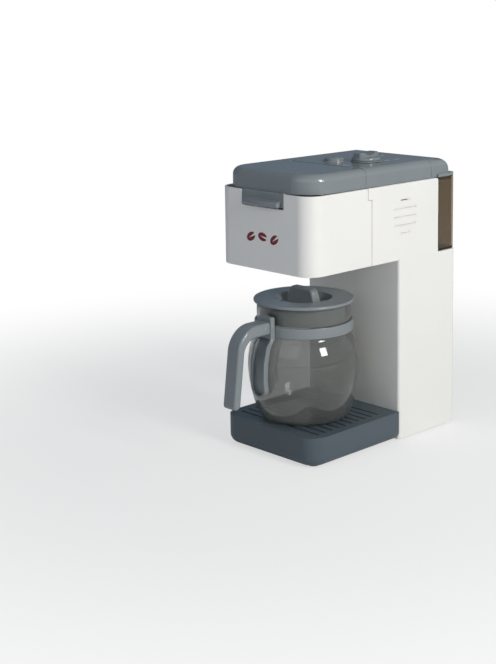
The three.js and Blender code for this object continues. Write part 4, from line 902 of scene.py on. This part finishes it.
def top_block(settings, front, rear, inset, corner, low, high, roll):
    """A block with the plan of the grey top; its outer long edges are rolled, its cut ends are not."""
    near = front + inset if corner else front
    bm = block(across(settings.inset + inset), (near, rear), (low, high), (corner, corner, 0, 0), 24)
    ends = edges_at(bm, Y, rear) | (set() if corner else edges_at(bm, Y, near))
    return rolled(bm, edges_at(bm, Z, high) - ends, roll, 10)


def top_outside(settings, front, rear, corner):
    return top_block(settings, front, rear, 0, corner, TOP_BOTTOM, TOP, settings.roll)


def top_hollow(settings, front, rear, corner):
    """The room inside a grey top piece; its long edges are rolled in step with the outside."""
    return top_block(settings, front, rear, WALL, corner, TOP_BOTTOM - OVERRUN, TOP - WALL, settings.roll - WALL)


def pin_bores():
    return [round_bar(X, PIN_RADIUS, around(place, 10 * MM), HINGE, 24) for place in KNUCKLES]


class TOYCOFFEE_OT_lid(bpy.types.Operator):
    """Builds the hinged front lid: a hollow rolled cover with a pull tab and hinge bosses"""

    bl_idname = "toycoffee.lid"
    bl_label = "Front lid"

    def execute(self, context):
        settings = context.scene.toy_top
        outer = top_outside(settings, LID_FRONT, LID_REAR, settings.corner)
        side = run_across(
            corners_of((LID_FRONT - 10 * MM, LID_REAR), (TOP_BOTTOM, TOP)), across(-OVERRUN),
            (0, 0, HINGE_RADIUS, 0), 8,
        )
        inner = top_hollow(settings, LID_FRONT, LID_REAR - WALL, settings.corner - WALL)
        bosses = [round_bar(X, HINGE_RADIUS, around(place, 9 * MM), HINGE, 32) for place in KNUCKLES]
        room = HINGE_RADIUS + FIT_GAP
        rooms = [
            block(around(place, 4.3 * MM), (HINGE[Y] - room, LID_REAR + OVERRUN), (HINGE[Z] - room, TOP + OVERRUN))
            for place in KNUCKLES
        ]
        lid = cut(joined(cut(shared(outer, side), inner), self.tab(settings), *bosses), *rooms, *pin_bores())
        piece(softened(lid), "lid", GREY, "front_lid", "front_lid")
        dress(STEEL, "lid_pin_left", "lid_pin_right")
        return {"FINISHED"}

    def tab(self, settings):
        """The pull tab: level under the lid, then down and out to a round lip, bowed forward."""
        reach, thick, lip_radius, bow = 6.5 * MM, 2.4 * MM, 2.6 * MM, 2.5 * MM
        low = BODY_TOP - 12.2 * MM
        root, seat = LID_FRONT + WALL, LID_FRONT + FIT_GAP
        half = settings.tab_width / 2
        lip = (FRONT - reach + lip_radius, low + lip_radius)
        face = curve((FRONT, TOP_BOTTOM - thick / 2), (FRONT, low + 6.2 * MM), (FRONT - 0.2 * MM, low + 5 * MM),
                     (lip[0] + 0.4 * MM, lip[1] + 0.98 * lip_radius), 14)
        round_lip = [
            (lip[0] + lip_radius * math.cos(angle), lip[1] + lip_radius * math.sin(angle))
            for angle in (math.pi * (0.5 + step / 10) for step in range(1, 10))
        ]
        back = curve((lip[0], low), (FRONT - 0.6 * MM, low), (FRONT + 0.4 * MM, low + 2 * MM),
                     (FRONT + 0.4 * MM, low + 6.9 * MM), 10)
        outline = [(root, TOP_BOTTOM + thick), (seat, TOP_BOTTOM + thick), (seat, TOP_BOTTOM),
                   (FRONT + thick / 2, TOP_BOTTOM), *face, *round_lip, *back,
                   (FRONT + thick, TOP_BOTTOM - thick), (root, TOP_BOTTOM - thick)]
        tab = run_across(outline, around(0, half))
        long_edges = [e for e in tab.edges if abs(e.verts[0].co.x - e.verts[1].co.x) > half]
        bmesh.ops.subdivide_edges(tab, edges=long_edges, cuts=15)
        for corner in tab.verts:
            out = max(0, (FRONT - corner.co.y) / reach)
            corner.co.y += bow * out * (corner.co.x / half) ** 2
        plan = block(around(0, half), (FRONT - reach, root + OVERRUN),
                     (low - OVERRUN, TOP_BOTTOM + thick + OVERRUN), (4.5 * MM, 4.5 * MM, 0, 0), 10)
        tab = shared(tab, plan)
        for side in (-1, 1):
            span = sorted((side * (half - 1 * MM), side * 25.4 * MM))
            cheek = block(span, (FRONT + 0.5 * MM, FRONT + 2 * MM), (low, TOP_BOTTOM))
            foot = block(span, (FRONT + 1 * MM, root), (TOP_BOTTOM - thick, TOP_BOTTOM + FIT_GAP))
            tab = joined(tab, cheek, foot)
        return tab


class TOYCOFFEE_OT_cover(bpy.types.Operator):
    """Builds the rear cover that carries the controls, and the rounded cap of the water tank"""

    bl_idname = "toycoffee.cover"
    bl_label = "Rear cover and tank cap"

    def execute(self, context):
        settings = context.scene.toy_top
        self.add_cover(settings)
        self.add_cap(settings)
        return {"FINISHED"}

    def add_cover(self, settings):
        """The cover with its collar, its hinge knuckles and the lip that locates it in the body."""
        outer = top_outside(settings, COVER_FRONT, COVER_REAR, 0)
        inner = top_hollow(settings, COVER_FRONT + WALL, COVER_REAR - WALL, 0)
        button, knob = middle_of("start_button"), middle_of("knob_ring")
        collar_radius, button_bore, knob_bore = 11 * MM, 9.3 * MM, 3.3 * MM
        collar = round_bar(Z, collar_radius, (TOP - WALL / 2, TOP + 0.8 * MM), button, 72)
        knuckles = []
        for place in KNUCKLES:
            side = around(place, 4 * MM)
            knuckles += [
                round_bar(X, HINGE_RADIUS, side, HINGE, 32),
                block(side, (HINGE[Y], COVER_FRONT + WALL), (HINGE[Z] - HINGE_RADIUS, HINGE[Z])),
                block(side, (HINGE[Y], COVER_FRONT + HINGE_RADIUS), (HINGE[Z], TOP)),
            ]
        inset = WALL + FIT_GAP
        lip = cut(
            block(across(inset), (SEAM + 2 * WALL, COVER_REAR - WALL), (BODY_TOP - 3 * MM, TOP_BOTTOM + WALL)),
            block(across(inset + WALL), (SEAM, COVER_REAR), (BODY_TOP - 4 * MM, TOP_BOTTOM + 2 * WALL)),
        )
        through = (TOP - 2 * WALL, TOP + 2 * MM)
        bores = [round_bar(Z, button_bore, through, button, 72), round_bar(Z, knob_bore, through, knob, 40)]
        cover = cut(joined(cut(outer, inner), lip, collar, *knuckles), *bores, *pin_bores())
        piece(softened(cover), "rear_cover", GREY, "rear_top_cover")

    def add_cap(self, settings):
        """The cap: round at its rear, with a flange on the tank's rim and a lip inside it."""
        front, rear = COVER_REAR + FIT_GAP, REAR - 8 * MM
        past = rear + 20 * MM  # behind the round end, which cuts the rest off
        round_outside, round_inside = 13 * MM, 10.8 * MM
        outer = top_outside(settings, front, past, 0)
        round_end = run_across(
            corners_of((front, rear), (TOP_BOTTOM, TOP)), across(-OVERRUN), (0, 0, round_outside, 0), 20,
        )
        hollow = run_across(
            corners_of((front + WALL, rear - WALL), (TOP_BOTTOM - 2 * OVERRUN, TOP - WALL)), across(),
            (0, 0, round_inside, 0), 12,
        )
        hollow = shared(hollow, top_hollow(settings, front, past, 0))
        flange = block(across(), (TANK_FRONT, REAR), (TOP_BOTTOM, TOP_BOTTOM + 3 * MM), (0, 0, 5 * MM, 5 * MM), 12)
        inset = 2.1 * MM
        lip = block(across(inset), (TANK_FRONT + inset, REAR - inset),
                    (TOP_BOTTOM - 3 * MM, TOP_BOTTOM + 1.5 * MM), (0, 0, 2.9 * MM, 2.9 * MM), 8)
        inset += WALL
        room = block(across(inset), (TANK_FRONT + inset, REAR - inset),
                     (TOP_BOTTOM - 4 * MM, TOP_BOTTOM + 3 * MM - WALL / 2))
        cap = cut(joined(shared(outer, round_end), flange, lip), hollow, room)
        piece(softened(cap), "tank_cover", GREY, "tank_cap", "tank_cap")


class TOYCOFFEE_OT_controls(bpy.types.Operator):
    """Builds the start button with its spring, and the knob with its ring"""

    bl_idname = "toycoffee.controls"
    bl_label = "Button and knob"

    def execute(self, context):
        settings = context.scene.toy_controls
        self.add_button(settings)
        self.add_knob(settings)
        self.add_spring()
        dress(BLACK, "button_switch", "selector_switch")
        dress("solder-masked board", "circuit_board")
        dress("speaker card", "speaker")
        return {"FINISHED"}

    def add_spring(self):
        """The button's spring, on a mesh of its own."""
        spring = piece(refined("button_spring"), "press_spring", STEEL, "button_spring")
        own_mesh(spring)

    def add_button(self, settings):
        """A dome with an upright side, on a flange and a stem."""
        radius = settings.button_radius
        low, high = (corner.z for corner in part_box("start_button"))
        stem, flange = 2.4 * MM, radius + WALL
        seat = TOP - WALL - FIT_GAP
        under = seat - 1.3 * MM
        face = TOP + 2.2 * MM
        profile = [(0, low), (stem, low), (stem, under), (flange, under), (flange, seat), (radius, seat)]
        profile += [(radius * out, face + (high - face) * up) for out, up in (
            (1, 0), (0.985, 0.14), (0.95, 0.29), (0.88, 0.46), (0.78, 0.62), (0.64, 0.77), (0.48, 0.89),
            (0.3, 0.96), (0.12, 0.995), (0, 1),
        )]
        button = softened(spun(profile, middle_of("start_button"), 72), 0.25 * MM)
        piece(button, "button_dome", GREY, "start_button", "start_button")

    def add_knob(self, settings):
        """A round skirt and a scooped finger bar on a flatted shaft, over a ring."""
        centre = middle_of("knob_ring")
        radius = settings.knob_radius
        seat = TOP + 1.6 * MM
        low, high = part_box("knob")[0].z, TOP + 8.6 * MM
        skirt = spun([
            (0, seat), (radius, seat), (radius, seat + 1.5 * MM), (radius - 0.3 * MM, seat + 2.2 * MM),
            (radius - 1.1 * MM, seat + 2.8 * MM), (0, seat + 2.8 * MM),
        ], centre, 72)
        half = settings.bar_width / 2
        bar = block(
            around(centre[X], half), around(centre[Y], radius - 0.55 * MM), (seat, high), (half / 2,) * 4, 8,
        )
        rolled(bar, edges_at(bar, Z, high), 1.2 * MM, 5)
        scoop = round_bar(X, 13 * MM, around(centre[X], radius), (0, centre[Y], high + 10.6 * MM), 96)
        flat = block((centre[X] + 2.2 * MM, centre[X] + 4 * MM), around(centre[Y], 4 * MM),
                     (low - OVERRUN, low + 6 * MM))
        shaft = cut(round_bar(Z, 3 * MM, (low, seat + OVERRUN), centre, 40), flat)
        grip = softened(joined(skirt, cut(bar, scoop), shaft), 0.35 * MM, angle=40, segments=3)
        piece(grip, "knob_grip", GREY, "knob", "knob")
        ring = in_mm([(3.3, 0.3), (14, 0.3), (13.9, 0.9), (13.4, 1.3), (3.3, 1.3)], TOP)
        piece(softened(spun(ring, centre, 72), 0.15 * MM), "knob_seat_ring", SATIN, "knob_ring")


# Brewing head, outlet and lamp


class TOYCOFFEE_OT_brewing(bpy.types.Operator):
    """Builds the deck under the lid, the filter basket, the moulded coffee, the outlet and the lamp"""

    bl_idname = "toycoffee.brewing"
    bl_label = "Brewing head"

    def execute(self, context):
        steps = context.scene.toy_jug.sides
        piece(softened(refined("brew_deck"), 0.4 * MM), "deck", SATIN, "brew_deck", sharp_from=50)
        self.add_basket(steps)
        self.add_outlet()
        return {"FINISHED"}

    def add_basket(self, steps):
        """A flanged basket that narrows downwards, with the coffee in it."""
        low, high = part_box("coffee_basket")
        centre = (0, FRONT + 43 * MM, 0)
        rim = in_mm([(30, -3), (30, 0), (33, 0), (33, 0.8), (28.4, 0.8), (28.4, -3)], high.z - 0.8 * MM)
        profile = in_mm([(0, 0), (26.8, 0)], low.z) + rim + in_mm([(25.2, 1.6), (0, 1.6)], low.z)
        piece(softened(spun(profile, centre, steps), 0.25 * MM, angle=15), "basket", DARK, "coffee_basket")
        self.add_powder(low.z + 1.9 * MM, centre, steps)

    def add_powder(self, floor, centre, steps):
        """A low heap; its moulded lumps are pushed up and down in the mesh by a seeded noise."""
        radius = 24.9 * MM
        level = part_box("coffee_powder")[1].z - 2 * MM
        heap = [(radius * out, level + 1.7 * MM * up) for out, up in (
            (1, 0), (0.97, 0.1), (0.92, 0.24), (0.86, 0.38), (0.78, 0.52), (0.7, 0.65), (0.6, 0.76), (0.5, 0.85),
            (0.4, 0.91), (0.3, 0.95), (0.2, 0.98), (0.1, 1), (0, 1),
        )]
        powder = spun([(0, floor), (radius, floor)] + heap, centre, steps)
        for vert in powder.verts:
            if vert.co.z > level + TOUCH:
                vert.co.z += 0.5 * MM * noise.noise(vert.co / (3.1 * MM)) - 0.2 * MM
        piece(powder, "coffee_heap", GRANULES, "coffee_powder")

    def add_outlet(self):
        """The outlet over the jug, and the round lens of the lamp behind it."""
        seat = HEAD_BOTTOM + WALL + FIT_GAP
        spout = in_mm([(3, -4), (5.9, -4), (7, -2.9)], HEAD_BOTTOM)
        nozzle = spun(spout + in_mm([(7, 0), (13, 0), (13, 2), (3, 2)], seat), (0, JUG.y, 0), 64)
        piece(softened(nozzle, 0.25 * MM, angle=30), "nozzle", SATIN, "outlet_nozzle")
        radius, flange, thick = 3.5 * MM, 4.7 * MM, 1.2 * MM
        dome = [(radius * out, HEAD_BOTTOM - radius * down) for out, down in (
            (0, 0.5), (0.26, 0.48), (0.5, 0.43), (0.71, 0.35), (0.87, 0.25), (0.97, 0.12), (1, 0),
        )]
        back = [(radius, seat), (flange, seat), (flange, seat + thick), (0, seat + thick)]
        piece(spun(dome + back, (0, JUG.y + 20 * MM, 0), 48), "lamp_lens", MILKY, "brew_light")


# Water tank


class TOYCOFFEE_OT_tank(bpy.types.Operator):
    """Builds the clear tank with its spigot, and dresses the pump, tubes and seal"""

    bl_idname = "toycoffee.tank"
    bl_label = "Water tank"

    def execute(self, context):
        wall, spigot_radius, bore_radius = 1.8 * MM, 4 * MM, 2.2 * MM
        floor = TANK_BOTTOM + FIT_GAP
        middle = (0, (TANK_FRONT - FIT_GAP + REAR) / 2, 0)
        front = TANK_FRONT + 0.4 * MM
        outer = block(across(), (front, REAR), (floor, BODY_TOP), (0, 0, 5 * MM, 5 * MM), 16)
        rolled(outer, edges_at(outer, Z, floor) - edges_at(outer, Y, front), 1.5 * MM, 5)
        inner = block(across(wall), (TANK_FRONT + wall, REAR - wall), (floor + wall, BODY_TOP + OVERRUN),
                      (0, 0, 3.2 * MM, 3.2 * MM), 16)
        rolled(inner, edges_at(inner, Z, floor + wall), 1 * MM, 4)
        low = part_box("water_tank")[0].z
        spigot = round_bar(Z, spigot_radius, (low, floor + wall / 2), middle, 40)
        bore = round_bar(Z, bore_radius, (low - OVERRUN, floor + 2 * wall), middle, 32)
        tank = cut(joined(cut(outer, inner), spigot), bore)
        piece(softened(tank), "tank", BROWN, "water_tank", "water_tank")
        dress(RUBBER, "tank_grommet")
        dress(DARK, "pump")
        dress("soft clear vinyl", "intake_tube", "delivery_tube")
        return {"FINISHED"}


# Base, tray and grate


class TOYCOFFEE_OT_base(bpy.types.Operator):
    """Builds the feet and the cross-slotted screws, and dresses the battery compartment"""

    bl_idname = "toycoffee.base"
    bl_label = "Feet, screws and batteries"

    def execute(self, context):
        corners = [f"{end}_{side}" for end in ("front", "rear") for side in ("left", "right")]
        for corner in corners:
            self.add_foot(corner)
        for node in ["battery_door_screw"] + [f"base_screw_{corner}" for corner in corners]:
            self.add_screw(node)
        dress("battery sleeve", "battery_1", "battery_2", "battery_3")
        dress(STEEL, "battery_contact_front", "battery_contact_rear")
        return {"FINISHED"}

    def add_foot(self, corner):
        """A rubber foot, rounded where it stands."""
        node = f"foot_{corner}"
        low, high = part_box(node)
        rounded = in_mm([(0, 0), (4.6, 0), (5.3, 0.15), (5.8, 0.5), (6, 1.1)], low.z)
        pad = spun(rounded + in_mm([(6, 0), (0, 0)], high.z), middle_of(node), 48)
        piece(pad, f"pad_{corner}", RUBBER, node)

    def add_screw(self, node):
        """A pan head with a cross slot, on a plain shank."""
        low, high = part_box(node)
        centre = middle_of(node)
        head = in_mm([(0, 0), (2, 0), (2.6, 0.3), (2.9, 0.8), (2.9, 1.5), (1.4, 1.5)], low.z)
        body = spun(head + in_mm([(1.4, -1.4), (0, 0)], high.z), centre, 32)
        narrow, wide, deep = 0.35 * MM, 1.6 * MM, (low.z - OVERRUN, low.z + 0.8 * MM)
        slots = [
            block(around(centre[X], along), around(centre[Y], aside), deep)
            for along, aside in ((narrow, wide), (wide, narrow))
        ]
        piece(cut(body, *slots), f"{node}_cross", STEEL, node)


class TOYCOFFEE_OT_tray(bpy.types.Operator):
    """Builds the drip tray, rounded at its front corners and foot, and the slotted grate"""

    bl_idname = "toycoffee.tray"
    bl_label = "Drip tray and grate"

    def execute(self, context):
        settings = context.scene.toy_tray
        self.add_tray(settings)
        self.add_grate(settings)
        return {"FINISHED"}

    def plan(self, settings, inset, rear, low, high):
        corner = settings.corner - inset
        return block(across(inset), (FRONT + 2 * MM + inset, rear), (low, high), (corner, corner, 0, 0), 18)

    def form(self, settings, inset, rear, low, high):
        """The tray's outer shape, rolled in at the foot except along its rear."""
        bm = self.plan(settings, inset, rear, low, high)
        return rolled(bm, edges_at(bm, Z, low) - edges_at(bm, Y, rear), settings.roll - inset, 8)

    def add_tray(self, settings):
        """A hollow tray with a ledge for the grate, two tongues at the rear and rooms for feet and screws."""
        rear = COLUMN_FRONT - FIT_GAP
        basin_rear = rear - WALL
        shelf = TRAY_TOP - 2.7 * MM
        rim, ledge, foot_room, screw_room = 3.4 * MM, 3 * MM, 6.3 * MM, 1.7 * MM
        outer = self.form(settings, 0, rear, GROUND, TRAY_TOP)
        basin = self.form(settings, WALL, basin_rear, GROUND + WALL, shelf - WALL)
        mouth = self.plan(settings, rim + ledge, basin_rear - ledge, shelf - 2 * WALL, TRAY_TOP)
        pocket = self.plan(settings, rim, basin_rear, shelf, TRAY_TOP + OVERRUN)
        tongues = [
            block(around(x, 8 * MM), (rear - WALL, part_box("drip_tray")[1].y), (GROUND + 2.7 * MM, GROUND + 6.1 * MM))
            for x in (-34 * MM, 34 * MM)
        ]
        under = GROUND - OVERRUN
        rooms = []
        for side in ("left", "right"):
            foot, screw = f"foot_front_{side}", f"base_screw_front_{side}"
            rooms.append(round_bar(Z, foot_room, (under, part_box(foot)[1].z + FIT_GAP), middle_of(foot), 40))
            rooms.append(round_bar(Z, screw_room, (under, GROUND + 10 * MM), middle_of(screw), 24))
        tray = cut(joined(cut(outer, basin, mouth, pocket), *tongues), *rooms)
        piece(softened(tray, 0.4 * MM), "tray", SHADED_TRAY, "drip_tray")

    def add_grate(self, settings):
        rear = COLUMN_FRONT - FIT_GAP - WALL - FIT_GAP
        plate = self.plan(settings, 3.7 * MM, rear, TRAY_TOP - 2.4 * MM, TRAY_TOP)
        reach, half, first, pitch = 49 * MM, 1.1 * MM, 17.5, 8.6  # the last two in millimetres
        slots = [
            block(around(0, reach), around(FRONT + (first + pitch * number) * MM, half),
                  (TRAY_TOP - 4 * MM, TRAY_TOP + OVERRUN), (1 * MM,) * 4, 5)
            for number in range(settings.slots)
        ]
        piece(softened(cut(plate, gathered(slots)), 0.35 * MM), "grate", SHADED_TRAY, "drip_grate")


# Jug

# Radius and height of the clear wall from the foot to the neck, as shares of its widest radius and body height
JUG_SHARES = (
    (0.706, 0.0), (0.742, 0.011), (0.775, 0.032), (0.804, 0.06), (0.829, 0.09), (0.858, 0.132), (0.885, 0.18),
    (0.915, 0.246), (0.943, 0.32), (0.967, 0.402), (0.986, 0.49), (0.998, 0.57), (1.0, 0.645), (0.991, 0.736),
    (0.967, 0.826), (0.942, 0.887), (0.908, 0.942), (0.884, 0.968), (0.86, 0.99), (0.84, 1.006),
)


def moved_out(points, distance):
    """The chain of points moved square to itself."""
    moved = []
    for place, (out, up) in enumerate(points):
        before, after = points[max(place - 1, 0)], points[min(place + 1, len(points) - 1)]
        along = Vector((after[0] - before[0], after[1] - before[1])).normalized()
        moved.append((out + along.y * distance, up - along.x * distance))
    return moved


class TOYCOFFEE_OT_jug(bpy.types.Operator):
    """Builds the clear jug, its band, strap, handle and lid"""

    bl_idname = "toycoffee.jug"
    bl_label = "Jug"

    def execute(self, context):
        settings = context.scene.toy_jug
        self.add_glass(settings)
        self.add_band(settings)
        piece(softened(refined("jug_strap"), 0.5 * MM), "strap", GREY, "jug_strap", "jug", sharp_from=35)
        self.add_handle(settings)
        self.add_lid(settings)
        return {"FINISHED"}

    def add_glass(self, settings):
        """The clear wall, in one closed profile from under the foot over the rim to the floor inside."""
        low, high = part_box("jug_body")
        widest, top = (high.x - low.x) / 2, high.z - low.z
        tall, neck, floor = 77.5 * MM, 42.4 * MM, 3 * MM
        outside = [(share * widest, rise * tall) for share, rise in JUG_SHARES]
        outside += [(neck, tall + 2.6 * MM), (neck, tall + 6 * MM), (neck, (tall + top) / 2), (neck, top - 1 * MM)]
        inside = [(out, max(up, floor)) for out, up in reversed(moved_out(outside, -settings.wall))]
        foot = outside[0][0]
        profile = [(0, 1.4 * MM), (foot - 3.4 * MM, 1.2 * MM), (foot - 2.2 * MM, 0.9 * MM), (foot - 1.4 * MM, 0)]
        profile += outside + [(neck - 0.3 * MM, top), (neck - settings.wall + 0.3 * MM, top)] + inside
        profile += [(foot - 3.4 * MM, floor), (0, floor + 0.2 * MM)]
        piece(spun(profile, JUG, settings.sides), "jug_wall", SMOKE, "jug_body", "jug", levels=1, sharp_from=80)

    def add_band(self, settings):
        low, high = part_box("jug_band")
        bore, out, rise = 42.7 * MM, high.x, high.z - low.z
        small, large = 0.2 * MM, 0.7 * MM
        band = spun([
            (bore, 0), (out - large, 0), (out - small, small), (out, large), (out, rise - large),
            (out - small, rise - small), (out - large, rise), (bore, rise),
        ], (JUG.x, JUG.y, low.z), settings.sides)
        piece(band, "band", GREY, "jug_band", "jug", sharp_from=50)

    def add_handle(self, settings):
        """An arm, a wide bend and a free grip with a round foot, in one profile with full edges."""
        low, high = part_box("jug_handle")
        half = settings.grip_width / 2
        thick, arm, slant, foot_level = 7.7 * MM, 11 * MM, 6 * MM, 21 * MM
        elbow, bend, toe = 12 * MM, 20.5 * MM, 3.7 * MM
        root, outer, inner = high.y, low.y, low.y + thick
        arm_top, arm_low = high.z, high.z - arm
        middle_low = low.z + thick / 2
        lean = slant / (arm_top - foot_level - low.z - thick / 2)
        outline = [
            (root, arm_low), (inner + lean * (arm_low - middle_low), arm_low), (inner, low.z), (outer, low.z),
            (outer + lean * (arm_top - middle_low), arm_top), (root, arm_top),
        ]
        radii = (0, elbow, toe, toe, bend, 0)
        handle = run_across(outline, around(0, half), radii, 14)
        sides = edges_at(handle, X, -half) | edges_at(handle, X, half)
        rolled(handle, sides - edges_at(handle, Y, root), 2.2 * MM, 5)
        rivet_low, rivet_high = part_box("handle_rivet")
        middle = (0, 0, (rivet_low.z + rivet_high.z) / 2)
        handle = cut(handle, round_bar(Y, 2.5 * MM, (rivet_low.y, root + OVERRUN), middle, 32))
        piece(handle, "handle", GREY, "jug_handle", "jug", sharp_from=50)
        pin = round_bar(Y, 2.2 * MM, (rivet_low.y, rivet_high.y), middle, 40)
        piece(softened(pin, 0.4 * MM, segments=3), "rivet", STEEL, "handle_rivet", "jug")
        place = (0, root - 5 * MM, middle[Z])
        studs = gathered(
            round_bar(X, 1.1 * MM, (side * (half - 1 * MM), side * (half + 0.2 * MM)), place, 24)
            for side in (-1, 1)
        )
        piece(softened(studs, 0.15 * MM), "handle_studs", STEEL, body="jug")

    def add_lid(self, settings):
        """A dished lid with a skirt in the jug's mouth and a grip across the dish."""
        low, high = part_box("jug_lid")
        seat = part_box("jug_body")[1].z + FIT_GAP
        rim = seat + 2.8 * MM
        out, skirt, dish, wall = 45.2 * MM, 40 * MM, 25.5 * MM, 2 * MM
        floor = rim - 6 * MM
        lid = spun([
            (0, floor - wall), (dish, floor - wall), (dish + wall, rim - wall), (skirt - wall, rim - wall),
            (skirt - wall, low.z), (skirt, low.z), (skirt, seat), (out - 0.4 * MM, seat), (out, seat + 0.4 * MM),
            (out, rim - 1.1 * MM), (out - 0.35 * MM, rim - 0.35 * MM), (out - 1.1 * MM, rim),
            (dish + 0.6 * MM, rim), (dish, rim - 0.3 * MM), (dish - 0.4 * MM, rim - 0.9 * MM),
            (dish - wall, floor + 0.6 * MM), (dish - wall - 0.8 * MM, floor), (0, floor),
        ], (JUG.x, JUG.y, 0), settings.sides)
        foot, crest, round_top = 16.5 * MM, 13.5 * MM, 3.2 * MM
        outline = [(-foot, floor - wall / 2), (foot, floor - wall / 2), (foot, rim), (crest, high.z),
                   (-crest, high.z), (-foot, rim)]
        sides = around(JUG.y, 4.5 * MM)
        grip = run_back(outline, sides, (0, 0, 0, round_top, round_top, 0), 8)
        rounded = [e for e in edges_at(grip, Y, sides[0]) | edges_at(grip, Y, sides[1])
                   if min(v.co.z for v in e.verts) > floor]
        rolled(grip, rounded, 2.4 * MM, 5)
        piece(joined(lid, grip), "jug_cover", GREY, "jug_lid", "jug_lid", sharp_from=50)


class TOYCOFFEE_PT_panel(bpy.types.Panel):
    """Lists the sizes, the colours and the steps of the toy coffee maker"""

    bl_idname = "TOYCOFFEE_PT_panel"
    bl_label = "Toy coffee maker"
    bl_space_type = "VIEW_3D"
    bl_region_type = "UI"
    bl_category = "Coffee maker"

    def draw(self, context):
        for _, holder, title in GROUPS:
            box = self.layout.box()
            box.label(text=title)
            settings = getattr(context.scene, holder)
            for name in settings.bl_rna.properties.keys():
                if name not in {"rna_type", "name"}:
                    box.prop(settings, name)
        for operator in OPERATORS:
            self.layout.operator(operator.bl_idname)


GROUPS = (
    (TopSettings, "toy_top", "Grey top"),
    (HeadSettings, "toy_head", "Head"),
    (ControlSettings, "toy_controls", "Controls"),
    (JugSettings, "toy_jug", "Jug"),
    (TraySettings, "toy_tray", "Drip tray"),
    (FinishSettings, "toy_finishes", "Colours"),
    (StageSettings, "toy_stage", "Stage"),
)
OPERATORS = (
    TOYCOFFEE_OT_stage,
    TOYCOFFEE_OT_finishes,
    TOYCOFFEE_OT_body,
    TOYCOFFEE_OT_print,
    TOYCOFFEE_OT_lid,
    TOYCOFFEE_OT_cover,
    TOYCOFFEE_OT_controls,
    TOYCOFFEE_OT_brewing,
    TOYCOFFEE_OT_tank,
    TOYCOFFEE_OT_base,
    TOYCOFFEE_OT_tray,
    TOYCOFFEE_OT_jug,
)


def register():
    for group, holder, _ in GROUPS:
        bpy.utils.register_class(group)
        setattr(bpy.types.Scene, holder, PointerProperty(type=group))
    for operator in OPERATORS:
        bpy.utils.register_class(operator)
    bpy.utils.register_class(TOYCOFFEE_PT_panel)


def unregister():
    bpy.utils.unregister_class(TOYCOFFEE_PT_panel)
    for operator in reversed(OPERATORS):
        bpy.utils.unregister_class(operator)
    for group, holder, _ in reversed(GROUPS):
        delattr(bpy.types.Scene, holder)
        bpy.utils.unregister_class(group)


def main():
    register()
    bpy.ops.toycoffee.stage()
    bpy.ops.toycoffee.finishes()
    bpy.ops.toycoffee.body()
    bpy.ops.toycoffee.print()
    bpy.ops.toycoffee.lid()
    bpy.ops.toycoffee.cover()
    bpy.ops.toycoffee.controls()
    bpy.ops.toycoffee.brewing()
    bpy.ops.toycoffee.tank()
    bpy.ops.toycoffee.base()
    bpy.ops.toycoffee.tray()
    bpy.ops.toycoffee.jug()


if __name__ == "__main__":
    main()
